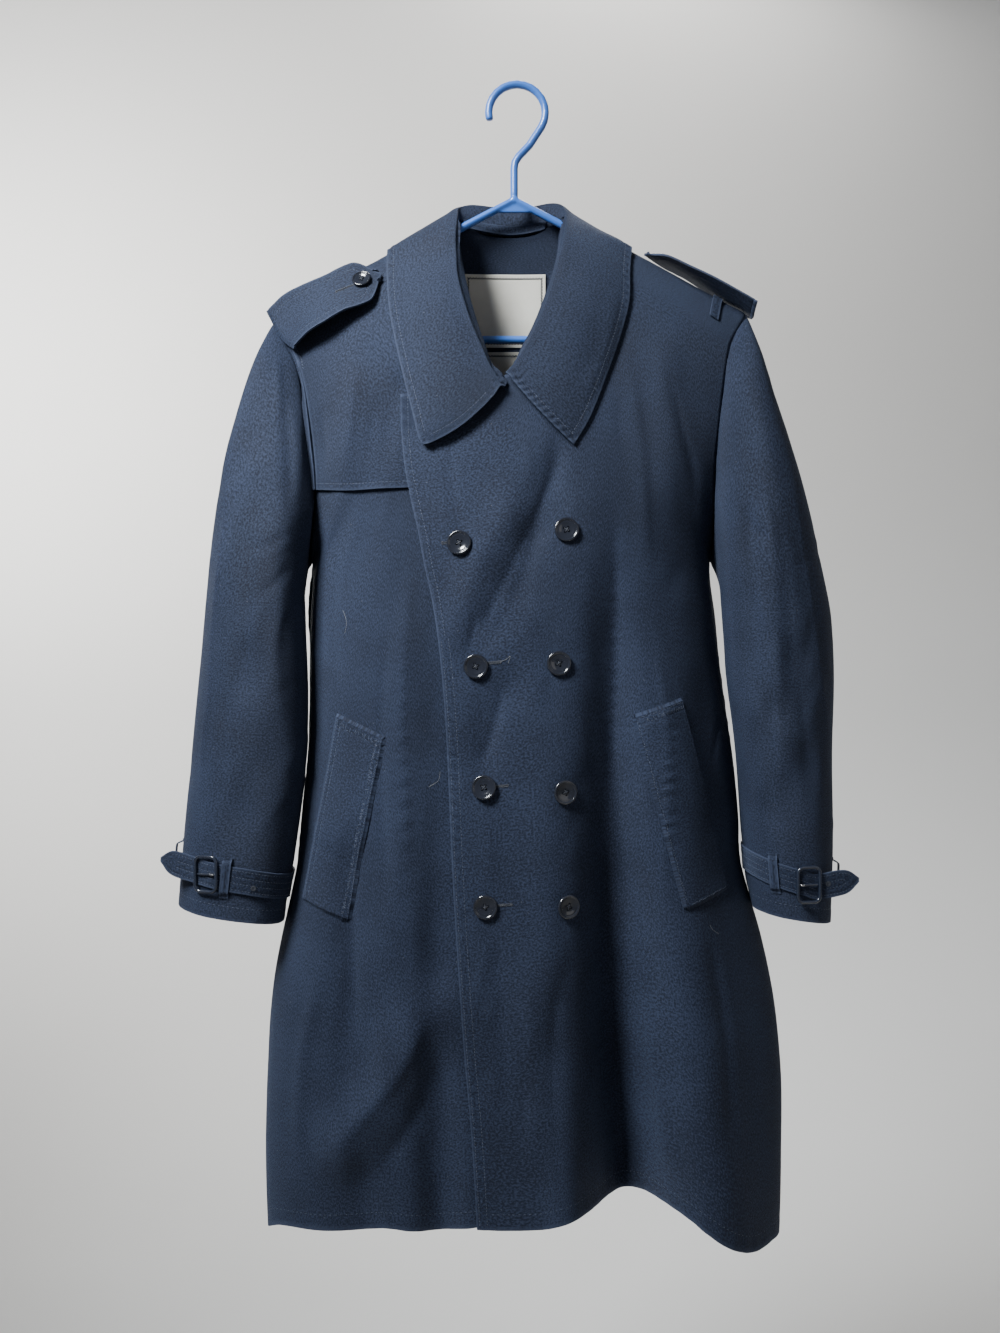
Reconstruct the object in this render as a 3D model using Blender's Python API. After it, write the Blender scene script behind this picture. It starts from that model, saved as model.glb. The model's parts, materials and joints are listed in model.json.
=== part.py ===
"""A double-breasted trench coat hanging on a one-piece tubular plastic hanger.

Metres, +Z up. The origin is the inside top of the hook, where it bears on a nail or a rail.
-Y is the coat's front. Left (-X) and right (+X) are as seen from the front. Every cloth piece is a
thin wall that follows one closed body surface, given by level sections, or one of the two sleeve
surfaces.
"""

import math

import bmesh
import bpy
from mathutils import Matrix, Vector
from mathutils.bvhtree import BVHTree

# Cloth walls and the gap between neighbouring pieces
BODY_CLOTH = 0.0018
COLLAR_CLOTH = 0.0022
STRAP_CLOTH = 0.0020
TAPE = 0.0010
LABEL = 0.0010
GAP = 0.0003
NUDGE = 0.0002
MOST_NUDGES = 60
LAP_STEP = 0.0034
SEAM_SPARE = 0.0006
RIDGE_SNAP = 0.0015
RIDGE_REACH = 0.004
SEAM_OFFSET = 0.00018

# Rows of a body panel: an even share of them up to the roll, the rest crowded over the shoulder
EVEN_ROWS = 0.80
EVEN_HEIGHT = 0.955
CROWDING = 1.6

# Hanger
TUBE_RADIUS = 0.0042
HOOK_RADIUS = 0.0297
HOOK_TOP = 0.0047
HANGER_HALF_WIDTH = 0.208
BAR_HEIGHT = -0.2589
ARM_LEAVES_NECK = {"left": 0.070, "right": 0.062}
ARM_BEND_WIDTH = 0.016
ARM_BEND_SQUASH = 0.75
ARM_SPARE = 0.0026
TUBE_FLAT = 1.13
JUNCTION = (-0.003, -0.1125)

# Buttons and buckles
BUTTON_RADIUS = 0.0121
STRAP_BUTTON_RADIUS = 0.0098
BUTTON_THICKNESS = 0.0036
BUCKLE_WIDTH = 0.027
BUCKLE_HEIGHT = 0.038
BUCKLE_BAR = 0.0017

SHOULDER_ROLL = 0.010
FRONT_FULLNESS = 0.15
BACK_FULLNESS = 0.045
ARMPIT = -0.490
STEP = 1e-4


def table(columns, *rows):
    """Named columns from rows of numbers."""
    return {name: [row[place] for row in rows] for place, name in enumerate(columns.split())}


# Level sections of the body: its side silhouettes, how far forward and back it reaches, where the side
# seam lies, and how square the section is
BODY = table(
    "z left right front back side square",
    (-0.100, -0.290, 0.268, -0.094, 0.030, 0.010, 2.6),
    (-0.250, -0.276, 0.256, -0.094, 0.031, 0.010, 2.6),
    (-0.300, -0.262, 0.246, -0.095, 0.032, 0.010, 2.5),
    (-0.360, -0.246, 0.234, -0.098, 0.033, 0.010, 2.4),
    (-0.420, -0.232, 0.220, -0.101, 0.034, 0.011, 2.3),
    (-0.490, -0.216, 0.202, -0.103, 0.035, 0.012, 2.3),
    (-0.550, -0.2175, 0.2075, -0.103, 0.036, 0.012, 2.3),
    (-0.610, -0.2175, 0.214, -0.102, 0.037, 0.012, 2.3),
    (-0.670, -0.218, 0.223, -0.100, 0.038, 0.012, 2.3),
    (-0.760, -0.226, 0.232, -0.097, 0.039, 0.010, 2.3),
    (-0.810, -0.230, 0.234, -0.094, 0.040, 0.008, 2.3),
    (-0.860, -0.241, 0.249, -0.091, 0.040, 0.006, 2.4),
    (-0.945, -0.255, 0.266, -0.087, 0.040, 0.000, 2.5),
    (-1.030, -0.258, 0.273, -0.083, 0.041, -0.006, 2.6),
    (-1.100, -0.259, 0.272, -0.080, 0.041, -0.010, 2.7),
    (-1.200, -0.256, 0.268, -0.078, 0.041, -0.014, 2.7),
)

# Height of the shoulder ridge; between the neck points it only guides the surface
SHOULDER = table(
    "x z",
    (-0.300, -0.268),
    (-0.256, -0.2405),
    (-0.132, -0.1720),
    (-0.066, -0.1372),
    (-0.003, -0.1050),
    (0.051, -0.1322),
    (0.118, -0.1660),
    (0.2385, -0.2325),
    (0.300, -0.268),
)

# Where the sleeve seams cross the front; the back seams scoop in less
ARMHOLE = table(
    "z left right",
    (-0.492, -0.2158, 0.2020),
    (-0.460, -0.2060, 0.2010),
    (-0.420, -0.2030, 0.2000),
    (-0.375, -0.2075, 0.2015),
    (-0.333, -0.2140, 0.2080),
    (-0.313, -0.2180, 0.2105),
    (-0.288, -0.2260, 0.2145),
    (-0.265, -0.2385, 0.2200),
    (-0.2325, -0.2560, 0.2385),
)
BACK_SCOOP = 0.7
ARMHOLE_TOP = {"left": -0.2405, "right": -0.2325}

# The free edges of the two fronts: the over front's shows, the under front's lies beneath it
OVER_EDGE = table(
    "z x",
    (-0.333, -0.117),
    (-0.376, -0.115),
    (-0.422, -0.109),
    (-0.449, -0.102),
    (-0.500, -0.092),
    (-0.560, -0.080),
    (-0.652, -0.071),
    (-0.826, -0.063),
    (-0.980, -0.053),
    (-1.061, -0.046),
    (-1.160, -0.040),
)
UNDER_EDGE = table(
    "z x",
    (-0.333, 0.100),
    (-0.500, 0.085),
    (-0.700, 0.077),
    (-0.900, 0.064),
    (-1.165, 0.050),
)
FLAP_EDGE = table("z x", (-0.290, -0.034), (-0.340, -0.060), (-0.430, -0.085))

# Hem heights across the coat
OVER_HEM = table(
    "x z",
    (-0.042, -1.1560),
    (-0.014, -1.1565),
    (0.018, -1.1558),
    (0.035, -1.1520),
    (0.046, -1.1485),
    (0.057, -1.1460),
    (0.083, -1.1440),
    (0.106, -1.1440),
    (0.126, -1.1390),
    (0.143, -1.1370),
    (0.162, -1.1410),
    (0.180, -1.1510),
    (0.198, -1.1630),
    (0.214, -1.1720),
    (0.228, -1.1780),
    (0.240, -1.1800),
    (0.257, -1.1790),
    (0.270, -1.1810),
)
UNDER_HEM = table(
    "x z",
    (-0.259, -1.177),
    (-0.241, -1.1655),
    (-0.200, -1.1635),
    (-0.150, -1.161),
    (-0.122, -1.1575),
    (-0.077, -1.164),
    (-0.044, -1.156),
    (0.056, -1.143),
)
BACK_HEM = table(
    "x z",
    (-0.258, -1.177),
    (-0.200, -1.163),
    (-0.080, -1.156),
    (0.090, -1.155),
    (0.190, -1.163),
    (0.270, -1.181),
)
FLAP_HEM = table("x z", (-0.215, -0.4205), (-0.160, -0.4255), (-0.109, -0.4235), (-0.080, -0.4200))

# Largest folds: a fold runs through three points and stands out (or, below zero, sinks in) by its rise
FOLD_COLUMNS = "x_top z_top x_mid z_mid x_low z_low width_top width_low rise_top rise_low"
FRONT_FOLDS = table(
    FOLD_COLUMNS,
    (0.094, -0.400, 0.093, -0.760, 0.119, -1.300, 0.018, 0.038, -0.008, -0.104),
    (0.158, -0.500, 0.168, -0.850, 0.222, -1.300, 0.034, 0.044, 0.004, 0.044),
    (0.047, -0.372, 0.012, -0.480, -0.052, -0.592, 0.017, 0.018, -0.006, -0.006),
    (0.012, -0.400, -0.030, -0.500, -0.072, -0.600, 0.019, 0.019, 0.005, 0.005),
    (-0.006, -0.600, -0.028, -0.660, -0.044, -0.730, 0.016, 0.016, -0.004, -0.004),
    (0.034, -0.640, 0.030, -0.800, 0.022, -1.000, 0.020, 0.026, 0.003, 0.006),
    (-0.088, -0.780, -0.082, -0.960, -0.074, -1.260, 0.016, 0.022, -0.004, -0.026),
    (0.044, -0.960, 0.048, -1.060, 0.052, -1.260, 0.020, 0.022, 0.002, 0.016),
    (-0.100, -0.480, -0.116, -0.680, -0.104, -0.930, 0.020, 0.022, 0.005, 0.008),
    (-0.078, -0.900, -0.124, -1.010, -0.210, -1.130, 0.022, 0.026, 0.010, 0.013),
    (-0.164, -0.740, -0.166, -0.880, -0.158, -1.030, 0.018, 0.020, -0.007, -0.008),
    (-0.140, -1.020, -0.150, -1.100, -0.152, -1.260, 0.018, 0.024, -0.002, -0.014),
    (-0.166, -0.270, -0.169, -0.340, -0.174, -0.440, 0.015, 0.018, 0.004, 0.005),
    (0.148, -0.250, 0.151, -0.350, 0.156, -0.460, 0.016, 0.020, 0.004, 0.005),
    (0.180, -0.600, 0.190, -0.700, 0.214, -0.800, 0.014, 0.018, -0.004, -0.006),
)
OVER_GUIDE = (0, 14 / 22)
UNDER_GUIDE = (6, 13 / 17)
BACK_FOLDS = table(
    FOLD_COLUMNS,
    (-0.140, -0.420, -0.146, -0.760, -0.158, -1.300, 0.018, 0.030, -0.003, -0.024),
    (-0.046, -0.560, -0.050, -0.840, -0.058, -1.300, 0.016, 0.026, -0.003, -0.016),
    (0.034, -0.640, 0.030, -0.880, 0.028, -1.300, 0.016, 0.022, -0.003, -0.012),
    (0.170, -0.420, 0.176, -0.780, 0.190, -1.300, 0.018, 0.026, -0.003, -0.018),
    (-0.090, -0.230, -0.060, -0.330, -0.020, -0.420, 0.014, 0.016, -0.003, -0.004),
    (0.090, -0.230, 0.062, -0.330, 0.030, -0.430, 0.014, 0.016, -0.003, -0.004),
)

# Collar, from the under front's end round the neck to the over front's end: the neck seam, the roll line
# standing off the body by its lift, and the fall's outer edge lying on the body
COLLAR = table(
    "facing neck_x neck_z roll_x roll_z lift edge_x edge_z sag bulge",
    (-1, -0.013, -0.3300, -0.0150, -0.3255, 0.0080, -0.0878, -0.3840, 0.0085, 0.004),
    (-1, -0.023, -0.3120, -0.0250, -0.3119, 0.0095, -0.0955, -0.3790, 0.0050, 0.005),
    (-1, -0.033, -0.2900, -0.0345, -0.2960, 0.0110, -0.1045, -0.3440, 0.0000, 0.006),
    (-1, -0.046, -0.2540, -0.0510, -0.2580, 0.0120, -0.1160, -0.2990, 0.0000, 0.006),
    (-1, -0.056, -0.2150, -0.0625, -0.2186, 0.0120, -0.1265, -0.2500, 0.0000, 0.005),
    (-1, -0.063, -0.1730, -0.0680, -0.1800, 0.0110, -0.1315, -0.2070, 0.0000, 0.003),
    (0, -0.066, -0.1372, -0.0665, -0.1300, 0.0000, -0.1320, -0.1710, 0.0000, 0.001),
    (1, -0.045, -0.1420, -0.0520, -0.1135, 0.0020, -0.1040, -0.1880, 0.0000, 0.001),
    (1, -0.004, -0.1455, -0.0040, -0.1145, 0.0025, -0.0040, -0.1900, 0.0000, 0.003),
    (1, 0.034, -0.1400, 0.0400, -0.1110, 0.0020, 0.0880, -0.1820, 0.0000, 0.001),
    (0, 0.051, -0.1322, 0.0520, -0.1260, 0.0000, 0.1170, -0.1650, 0.0000, 0.001),
    (-1, 0.047, -0.1620, 0.0490, -0.1620, 0.0110, 0.1145, -0.1960, 0.0000, 0.003),
    (-1, 0.040, -0.1960, 0.0420, -0.1970, 0.0120, 0.1125, -0.2300, 0.0000, 0.005),
    (-1, 0.030, -0.2300, 0.0331, -0.2310, 0.0120, 0.1040, -0.2640, 0.0000, 0.006),
    (-1, 0.018, -0.2620, 0.0200, -0.2640, 0.0115, 0.0910, -0.3020, 0.0000, 0.006),
    (-1, 0.004, -0.2900, 0.0060, -0.2920, 0.0100, 0.0710, -0.3540, 0.0000, 0.005),
    (-1, -0.009, -0.3150, -0.0110, -0.3135, 0.0095, 0.0541, -0.3835, 0.0030, 0.004),
)
LEFT_LEAF_LEVEL = 0.0072
RIGHT_LEAF_LEVEL = 0.0034

# Level sections of the sleeves, and how far their back halves lean outwards
SLEEVE_COLUMNS = "z outer inner front back lean square"
SLEEVES = {
    "right": table(
        SLEEVE_COLUMNS,
        (-0.225, 0.2300, 0.205, -0.006, 0.008, 0.00, 2.2),
        (-0.2325, 0.2390, 0.205, -0.010, 0.012, 0.00, 2.2),
        (-0.273, 0.2530, 0.200, -0.040, 0.026, 0.05, 2.2),
        (-0.314, 0.2640, 0.198, -0.054, 0.031, 0.10, 2.3),
        (-0.360, 0.2800, 0.197, -0.064, 0.034, 0.18, 2.3),
        (-0.430, 0.3030, 0.198, -0.075, 0.038, 0.28, 2.3),
        (-0.490, 0.3170, 0.2035, -0.080, 0.041, 0.34, 2.3),
        (-0.542, 0.3270, 0.2075, -0.080, 0.042, 0.34, 2.3),
        (-0.610, 0.3300, 0.2135, -0.080, 0.041, 0.30, 2.3),
        (-0.690, 0.3270, 0.2235, -0.078, 0.040, 0.22, 2.3),
        (-0.780, 0.3255, 0.2325, -0.074, 0.038, 0.12, 2.3),
        (-0.870, 0.3220, 0.2430, -0.070, 0.036, 0.08, 2.3),
    ),
    "left": table(
        SLEEVE_COLUMNS,
        (-0.232, -0.2470, -0.222, -0.006, 0.008, 0.00, 2.2),
        (-0.2405, -0.2565, -0.222, -0.010, 0.012, 0.00, 2.2),
        (-0.281, -0.2720, -0.215, -0.040, 0.025, 0.03, 2.2),
        (-0.329, -0.2870, -0.210, -0.056, 0.030, 0.05, 2.3),
        (-0.371, -0.2970, -0.206, -0.066, 0.033, 0.08, 2.3),
        (-0.434, -0.3080, -0.208, -0.075, 0.037, 0.10, 2.3),
        (-0.490, -0.3160, -0.2165, -0.080, 0.040, 0.12, 2.3),
        (-0.550, -0.3220, -0.2180, -0.080, 0.041, 0.12, 2.3),
        (-0.629, -0.3300, -0.2160, -0.079, 0.040, 0.12, 2.3),
        (-0.708, -0.3370, -0.2190, -0.077, 0.039, 0.12, 2.3),
        (-0.774, -0.3430, -0.2270, -0.074, 0.038, 0.10, 2.3),
        (-0.870, -0.3510, -0.2425, -0.070, 0.036, 0.10, 2.3),
    ),
}
CUFF_ROOM = 0.0049
CUFF_ROOM_HEIGHT = 0.030
ROLL_CLEARANCE = 0.0030
SLEEVE_HEAD = -0.535
CUFF_HEM = {"left": (-0.8440, -0.8620), "right": (-0.8610, -0.8450)}
SLEEVE_FOLDS = {
    "left": table(
        FOLD_COLUMNS,
        (-0.262, -0.270, -0.292, -0.450, -0.312, -0.760, 0.006, 0.008, 0.003, 0.004),
        (-0.252, -0.330, -0.262, -0.440, -0.266, -0.560, 0.012, 0.014, -0.003, -0.005),
        (-0.236, -0.560, -0.262, -0.600, -0.290, -0.650, 0.010, 0.012, -0.004, -0.005),
        (-0.240, -0.660, -0.262, -0.720, -0.290, -0.790, 0.012, 0.012, -0.004, -0.004),
    ),
    "right": table(
        FOLD_COLUMNS,
        (0.244, -0.300, 0.256, -0.500, 0.260, -0.760, 0.006, 0.008, 0.003, 0.004),
        (0.222, -0.420, 0.228, -0.520, 0.232, -0.640, 0.010, 0.012, -0.005, -0.006),
        (0.290, -0.560, 0.268, -0.620, 0.244, -0.680, 0.010, 0.012, -0.004, -0.005),
        (0.300, -0.660, 0.276, -0.710, 0.250, -0.770, 0.012, 0.012, -0.003, -0.004),
    ),
}

# Shoulder straps: their back and front long edges, from the sleeve seam to the pointed neck end, and how far
# the middle sags between them onto the shoulder
STRAP_COLUMNS = "back_x back_y back_z front_x front_y front_z sag"
STRAP_UP = {"left": (0.0, -0.6, 0.8), "right": (0.0, 0.0, 1.0)}
SHOULDER_STRAPS = {
    "left": table(
        STRAP_COLUMNS,
        (-0.2590, -0.0060, -0.2285, -0.2270, -0.0360, -0.2740, 0.009),
        (-0.2440, -0.0080, -0.2150, -0.2120, -0.0440, -0.2620, 0.005),
        (-0.2270, -0.0090, -0.2060, -0.1960, -0.0470, -0.2530, 0.003),
        (-0.1990, -0.0090, -0.1940, -0.1750, -0.0450, -0.2400, 0.001),
        (-0.1700, -0.0110, -0.1820, -0.1490, -0.0390, -0.2280, 0.000),
    ),
    "right": table(
        STRAP_COLUMNS,
        (0.2430, 0.0190, -0.2270, 0.2440, -0.0250, -0.2240, 0.0100),
        (0.2240, 0.0200, -0.2160, 0.2230, -0.0250, -0.2120, 0.006),
        (0.2050, 0.0200, -0.2050, 0.2010, -0.0250, -0.2000, 0.004),
        (0.1800, 0.0190, -0.1890, 0.1760, -0.0240, -0.1880, 0.002),
        (0.1560, 0.0180, -0.1770, 0.1540, -0.0220, -0.1775, 0.001),
    ),
}
SHOULDER_STRAP_TIP = {"left": (-0.1400, -0.0230, -0.1970), "right": (0.1330, -0.0030, -0.1700)}
SHOULDER_STRAP_BUTTON = {"left": 0.80, "right": 0.80}
STRAP_LOOP = {"left": (-0.228, -0.222), "right": (0.2090, 0.2030)}
STRAP_LOOP_DROP = 0.028
STRAP_LOOP_ROWS = ((1, 0.014), (1, 0.003), (-1, 0.003), (-1, 0.012), (-1, STRAP_LOOP_DROP))

# Pocket welts: corners from the upper inner one round to the lower inner one
WELTS = {
    "left": ((-0.132, -0.672), (-0.180, -0.651), (-0.216, -0.836), (-0.169, -0.853)),
    "right": ((0.116, -0.651), (0.161, -0.635), (0.208, -0.823), (0.164, -0.837)),
}

# Front buttons: across and up
BUTTONS = {
    "left_1": (-0.057, -0.481),
    "left_2": (-0.041, -0.601),
    "left_3": (-0.033, -0.719),
    "left_4": (-0.032, -0.835),
    "right_1": (0.047, -0.468),
    "right_2": (0.039, -0.598),
    "right_3": (0.045, -0.723),
    "right_4": (0.048, -0.835),
}

# Cuff straps: the middle of the strap at the outer, front and inner sides, and where things sit on it
CUFF_STRAP_WIDTH = 0.025
CUFF_STRAP_HEIGHT = {"left": (-0.7985, -0.8240), "right": (-0.8300, -0.7960)}
CUFF_BUCKLE_TURN = {"left": 0.310, "right": 0.284}
CUFF_LOOP_TURN = {"left": 0.260, "right": 0.185}
CUFF_OUTER_LOOP_TURN = 0.50
CUFF_STRAP_END_TURN = -0.36
CUFF_TIP_LENGTH = {"left": 0.042, "right": 0.046}
CUFF_TIP_RISE = {"left": 0.24, "right": 0.12}
CUFF_OUTER_LOOP_RISE = {"left": 0.0, "right": 0.012}

NARROW_TAPE_WIDTH = 0.0092
OUTER_LOOP_BOW = 0.004

# A cuff carrier's rows on one side of the strap: how far from the strap's middle, and how high it has risen
CARRIER_ROWS = ((0.0200, 0.0), (0.0176, 0.04), (0.0152, 0.72), (0.0128, 1.0))

# Neck tapes: the hanging loop's ends and edges as shares of the stand, and each label's sides and heights
HANGING_LOOP = (0.415, 0.553, 0.02, 0.40)
LABELS = {"label_main": (-0.056, 0.031, -0.260, -0.183), "label_lower": (-0.036, 0.022, -0.296, -0.2645)}

NAVY = (0.030, 0.042, 0.075)
DARK_NAVY = (0.020, 0.028, 0.052)
BUTTON_BLACK = (0.010, 0.012, 0.020)
CREAM = (0.62, 0.58, 0.48)
STEEL_GREY = (0.30, 0.30, 0.32)
HANGER_BLUE = (0.070, 0.230, 0.700)


def smooth(keys, values, at):
    """A smooth curve through the values at ascending or descending keys, flat beyond both ends."""
    if keys[0] > keys[-1]:
        keys = keys[::-1]
        values = values[::-1]
    if at <= keys[0]:
        return values[0]
    if at >= keys[-1]:
        return values[-1]
    place = max(i for i in range(len(keys) - 1) if keys[i] <= at)

    def slope(i):
        before = max(i - 1, 0)
        after = min(i + 1, len(keys) - 1)
        return (values[after] - values[before]) / (keys[after] - keys[before])

    span = keys[place + 1] - keys[place]
    t = (at - keys[place]) / span
    start = values[place] * (1 + 2 * t) * (1 - t) ** 2 + values[place + 1] * t * t * (3 - 2 * t)
    return start + span * (slope(place) * t * (1 - t) ** 2 - slope(place + 1) * t * t * (1 - t))


def ease(t):
    t = min(max(t, 0.0), 1.0)
    return t * t * (3 - 2 * t)


def blend(a, b, t):
    return a + (b - a) * t


def shoulder_height(x):
    return smooth(SHOULDER["x"], SHOULDER["z"], x)


def fold_rise(folds, x, z):
    """How far all the folds of a table lift the cloth at (x, z)."""
    total = 0.0
    for i in range(len(folds["x_top"])):
        along = (folds["z_top"][i] - z) / (folds["z_top"][i] - folds["z_low"][i])
        if not 0 < along < 1:
            continue
        heights = (folds["z_top"][i], folds["z_mid"][i], folds["z_low"][i])
        line = smooth(heights, (folds["x_top"][i], folds["x_mid"][i], folds["x_low"][i]), z)
        lean = (folds["x_low"][i] - folds["x_top"][i]) / (folds["z_top"][i] - folds["z_low"][i])
        width = blend(folds["width_top"][i], folds["width_low"][i], along)
        away = (x - line) / math.hypot(1, lean) / width
        if abs(away) > 4:
            continue
        rise = blend(folds["rise_top"][i], folds["rise_low"][i], along**1.6)
        total += rise * ease(along / 0.22) * ease((1 - along) / 0.22) * math.exp(-away * away)
    return total


def body_angle(x, z):
    """The section angle of a point at x: -90 degrees at the left silhouette and 90 at the right one."""
    left = smooth(BODY["z"], BODY["left"], z)
    right = smooth(BODY["z"], BODY["right"], z)
    square = smooth(BODY["z"], BODY["square"], z)
    across = min(max((2 * x - left - right) / (right - left), -1.0), 1.0)
    return math.copysign(math.asin(abs(across) ** (square / 2)), across)


def body_point(facing, angle, z):
    """A point of the closed body surface: facing is -1 on the front and 1 on the back."""
    left = smooth(BODY["z"], BODY["left"], z)
    right = smooth(BODY["z"], BODY["right"], z)
    power = 2 / smooth(BODY["z"], BODY["square"], z)
    x = (left + right) / 2 + (right - left) / 2 * math.copysign(abs(math.sin(angle)) ** power, angle)
    roll = abs(math.cos(angle)) ** power
    drop = max(shoulder_height(x) - z, 0.0)
    run = math.sqrt((drop + SHOULDER_ROLL) ** 2 - SHOULDER_ROLL**2)
    front_part = 1 - math.exp(-run / FRONT_FULLNESS)
    back_part = 1 - math.exp(-run / BACK_FULLNESS)
    side = smooth(BODY["z"], BODY["side"], z) * back_part
    if facing < 0:
        reach = smooth(BODY["z"], BODY["front"], z) * front_part
        fold = -fold_rise(FRONT_FOLDS, x, z)
    else:
        reach = smooth(BODY["z"], BODY["back"], z) * back_part
        fold = fold_rise(BACK_FOLDS, x, z)
    return Vector((x, side + (reach - side) * roll + fold * ease(roll / 0.6), z))


def body_at(facing, x, z, level=0.0):
    """The body surface at (x, z), moved out by level along its normal."""
    angle = body_angle(x, z)
    place = body_point(facing, angle, z)
    return place + body_normal(facing, angle, z) * level


def body_normal(facing, angle, z):
    across = body_point(facing, angle + STEP, z) - body_point(facing, angle - STEP, z)
    top = min(z + STEP, shoulder_height(body_point(facing, angle, z).x))
    down = body_point(facing, angle, top) - body_point(facing, angle, top - 2 * STEP)
    return (across.cross(down) * -facing).normalized()


def make_object(name, mesh, colour, roughness, parent, metallic=0.0):
    material = bpy.data.materials.new(name)
    material.use_nodes = True
    shader = material.node_tree.nodes["Principled BSDF"]
    shader.inputs["Base Color"].default_value = (*colour, 1.0)
    shader.inputs["Roughness"].default_value = roughness
    shader.inputs["Metallic"].default_value = metallic
    mesh.materials.append(material)
    obj = bpy.data.objects.new(name, mesh)
    obj.parent = parent
    bpy.context.scene.collection.objects.link(obj)
    return obj


def thickened(sheet, stations, thickness):
    """A closed wall on a sheet: the sheet moves out by half the thickness and its extruded copy moves in."""
    wall = sheet.copy()
    station = wall.verts.layers.int["station"]
    made = bmesh.ops.extrude_face_region(wall, geom=wall.faces[:], use_keep_orig=True)
    inner = {item for item in made["geom"] if isinstance(item, bmesh.types.BMVert)}
    for vert in wall.verts:
        place, way = stations[vert[station]]
        vert.co = place + way * (-thickness / 2 if vert in inner else thickness / 2)
    bmesh.ops.recalc_face_normals(wall, faces=wall.faces[:])
    if wall.calc_volume(signed=True) < 0:
        bmesh.ops.reverse_faces(wall, faces=wall.faces[:])
    return wall


def tree_of(obj, shift=Vector()):
    """The faces of an object, placed and turned as it is, moved by shift."""
    placed = Matrix.LocRotScale(obj.location + shift, obj.rotation_euler, None)
    corners = [placed @ vert.co for vert in obj.data.vertices]
    obj.data.calc_loop_triangles()
    triangles = [tuple(triangle.vertices) for triangle in obj.data.loop_triangles]
    return BVHTree.FromPolygons(corners, triangles, all_triangles=True)


def move_clear(sheet, stations, thickness, others, direction):
    """Moves whatever part of a sheet comes too near other pieces, step by step, along direction(place, way)."""
    trees = [tree_of(other) for other in others]
    for _ in range(MOST_NUDGES):
        wall = thickened(sheet, stations, thickness + 2 * GAP)
        station = wall.verts.layers.int["station"]
        wall.faces.ensure_lookup_table()
        tree = BVHTree.FromBMesh(wall)
        near = {face for other in trees for face, _ in tree.overlap(other)}
        caught = {vert[station] for face in near for vert in wall.faces[face].verts}
        wall.free()
        if not caught:
            return
        for index in caught:
            place, way = stations[index]
            stations[index] = (place + direction(place, way) * NUDGE, way)


def lift_clear(obj, others, way):
    """Moves a stiff piece along way until it stands a gap clear of the others."""
    trees = [tree_of(other) for other in others]
    for _ in range(MOST_NUDGES):
        tree = tree_of(obj, way * -GAP)
        if not any(tree.overlap(other) for other in trees):
            return
        obj.location += way * NUDGE


def outwards(place, way):
    return way


def inwards(place, way):
    return -way


def backwards(place, way):
    return Vector((0, 1, 0))


def cloth_wall(name, columns, rows, point, thickness, parent, colour=NAVY, spacing=None, ring=False, clear=()):
    """A cloth wall: a grid of cloth is laid on point(u, v), which gives a place and the way out, then
    extruded to its thickness. A ring closes on itself. Each entry of clear holds the pieces to keep off
    and the direction to move in."""
    sheet = bmesh.new()
    bmesh.ops.create_grid(sheet, x_segments=columns, y_segments=rows, size=0.5)
    station = sheet.verts.layers.int.new("station")
    stations = []
    ends = {0: [], 1: []}
    for vert in sheet.verts:
        u = vert.co.x + 0.5
        v = vert.co.y + 0.5
        if spacing:
            v = spacing(v)
        if min(u, 1 - u) < 1e-6:
            ends[round(u)].append((v, vert))
        vert[station] = len(stations)
        stations.append(point(0.0 if ring and u > 1 - 1e-6 else u, v))
        vert.co = stations[-1][0]
    if ring:
        pairs = {end: min(ends[0], key=lambda start: abs(start[0] - v))[1] for v, end in ends[1]}
        bmesh.ops.weld_verts(sheet, targetmap=pairs)
    for others, direction in clear:
        move_clear(sheet, stations, thickness, others, direction)
    wall = thickened(sheet, stations, thickness)
    mesh = bpy.data.meshes.new(name)
    wall.to_mesh(mesh)
    wall.free()
    sheet.free()
    mesh.attributes.remove(mesh.attributes["station"])
    mesh.shade_smooth()
    mesh.set_sharp_from_angle(angle=math.radians(50))
    return make_object(name, mesh, colour, 0.75, parent)


def surface_with_normal(surface, away):
    """Adds the way out to a surface(u, v): square to it, on the side of away."""

    def point(u, v):
        place = surface(u, v)
        low_u = max(u - 1e-3, 0.0)
        high_u = min(u + 1e-3, 1.0)
        low_v = max(v - 1e-3, 0.0)
        high_v = min(v + 1e-3, 1.0)
        across = surface(high_u, v) - surface(low_u, v)
        along = surface(u, high_v) - surface(u, low_v)
        way = across.cross(along).normalized()
        return place, (way if way.dot(away(u, v)) > 0 else -way)

    return point


def loft(sections):
    """A smooth surface(u, v) through rows of points: u runs from section to section, v along each."""
    stations = [i / (len(sections) - 1) for i in range(len(sections))]
    marks = [i / (len(sections[0]) - 1) for i in range(len(sections[0]))]

    def surface(u, v):
        across = [
            [smooth(marks, [place[axis] for place in section], v) for section in sections] for axis in range(3)
        ]
        return Vector([smooth(stations, column, u) for column in across])

    return surface


def crowded_top(v):
    """Rows of a body panel: even, but closer together over the last of the height, where it rolls."""
    if v <= EVEN_ROWS:
        return v / EVEN_ROWS * EVEN_HEIGHT
    return 1 - (1 - EVEN_HEIGHT) * ((1 - v) / (1 - EVEN_ROWS)) ** CROWDING


def armhole_x(side, facing, z):
    front_x = smooth(ARMHOLE["z"], ARMHOLE[side], z)
    if facing < 0:
        return front_x
    edge = ARMHOLE[side][-1] if z > ARMPIT else front_x
    pit = ARMHOLE[side][0]
    straight = blend(pit, edge, ease((z - ARMPIT) / (ARMHOLE_TOP[side] - ARMPIT)))
    return blend(straight, front_x, BACK_SCOOP)


def side_angle(side, facing, z):
    if z <= ARMPIT:
        return math.radians(-90 if side == "left" else 90)
    return body_angle(armhole_x(side, facing, z), z)


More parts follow.
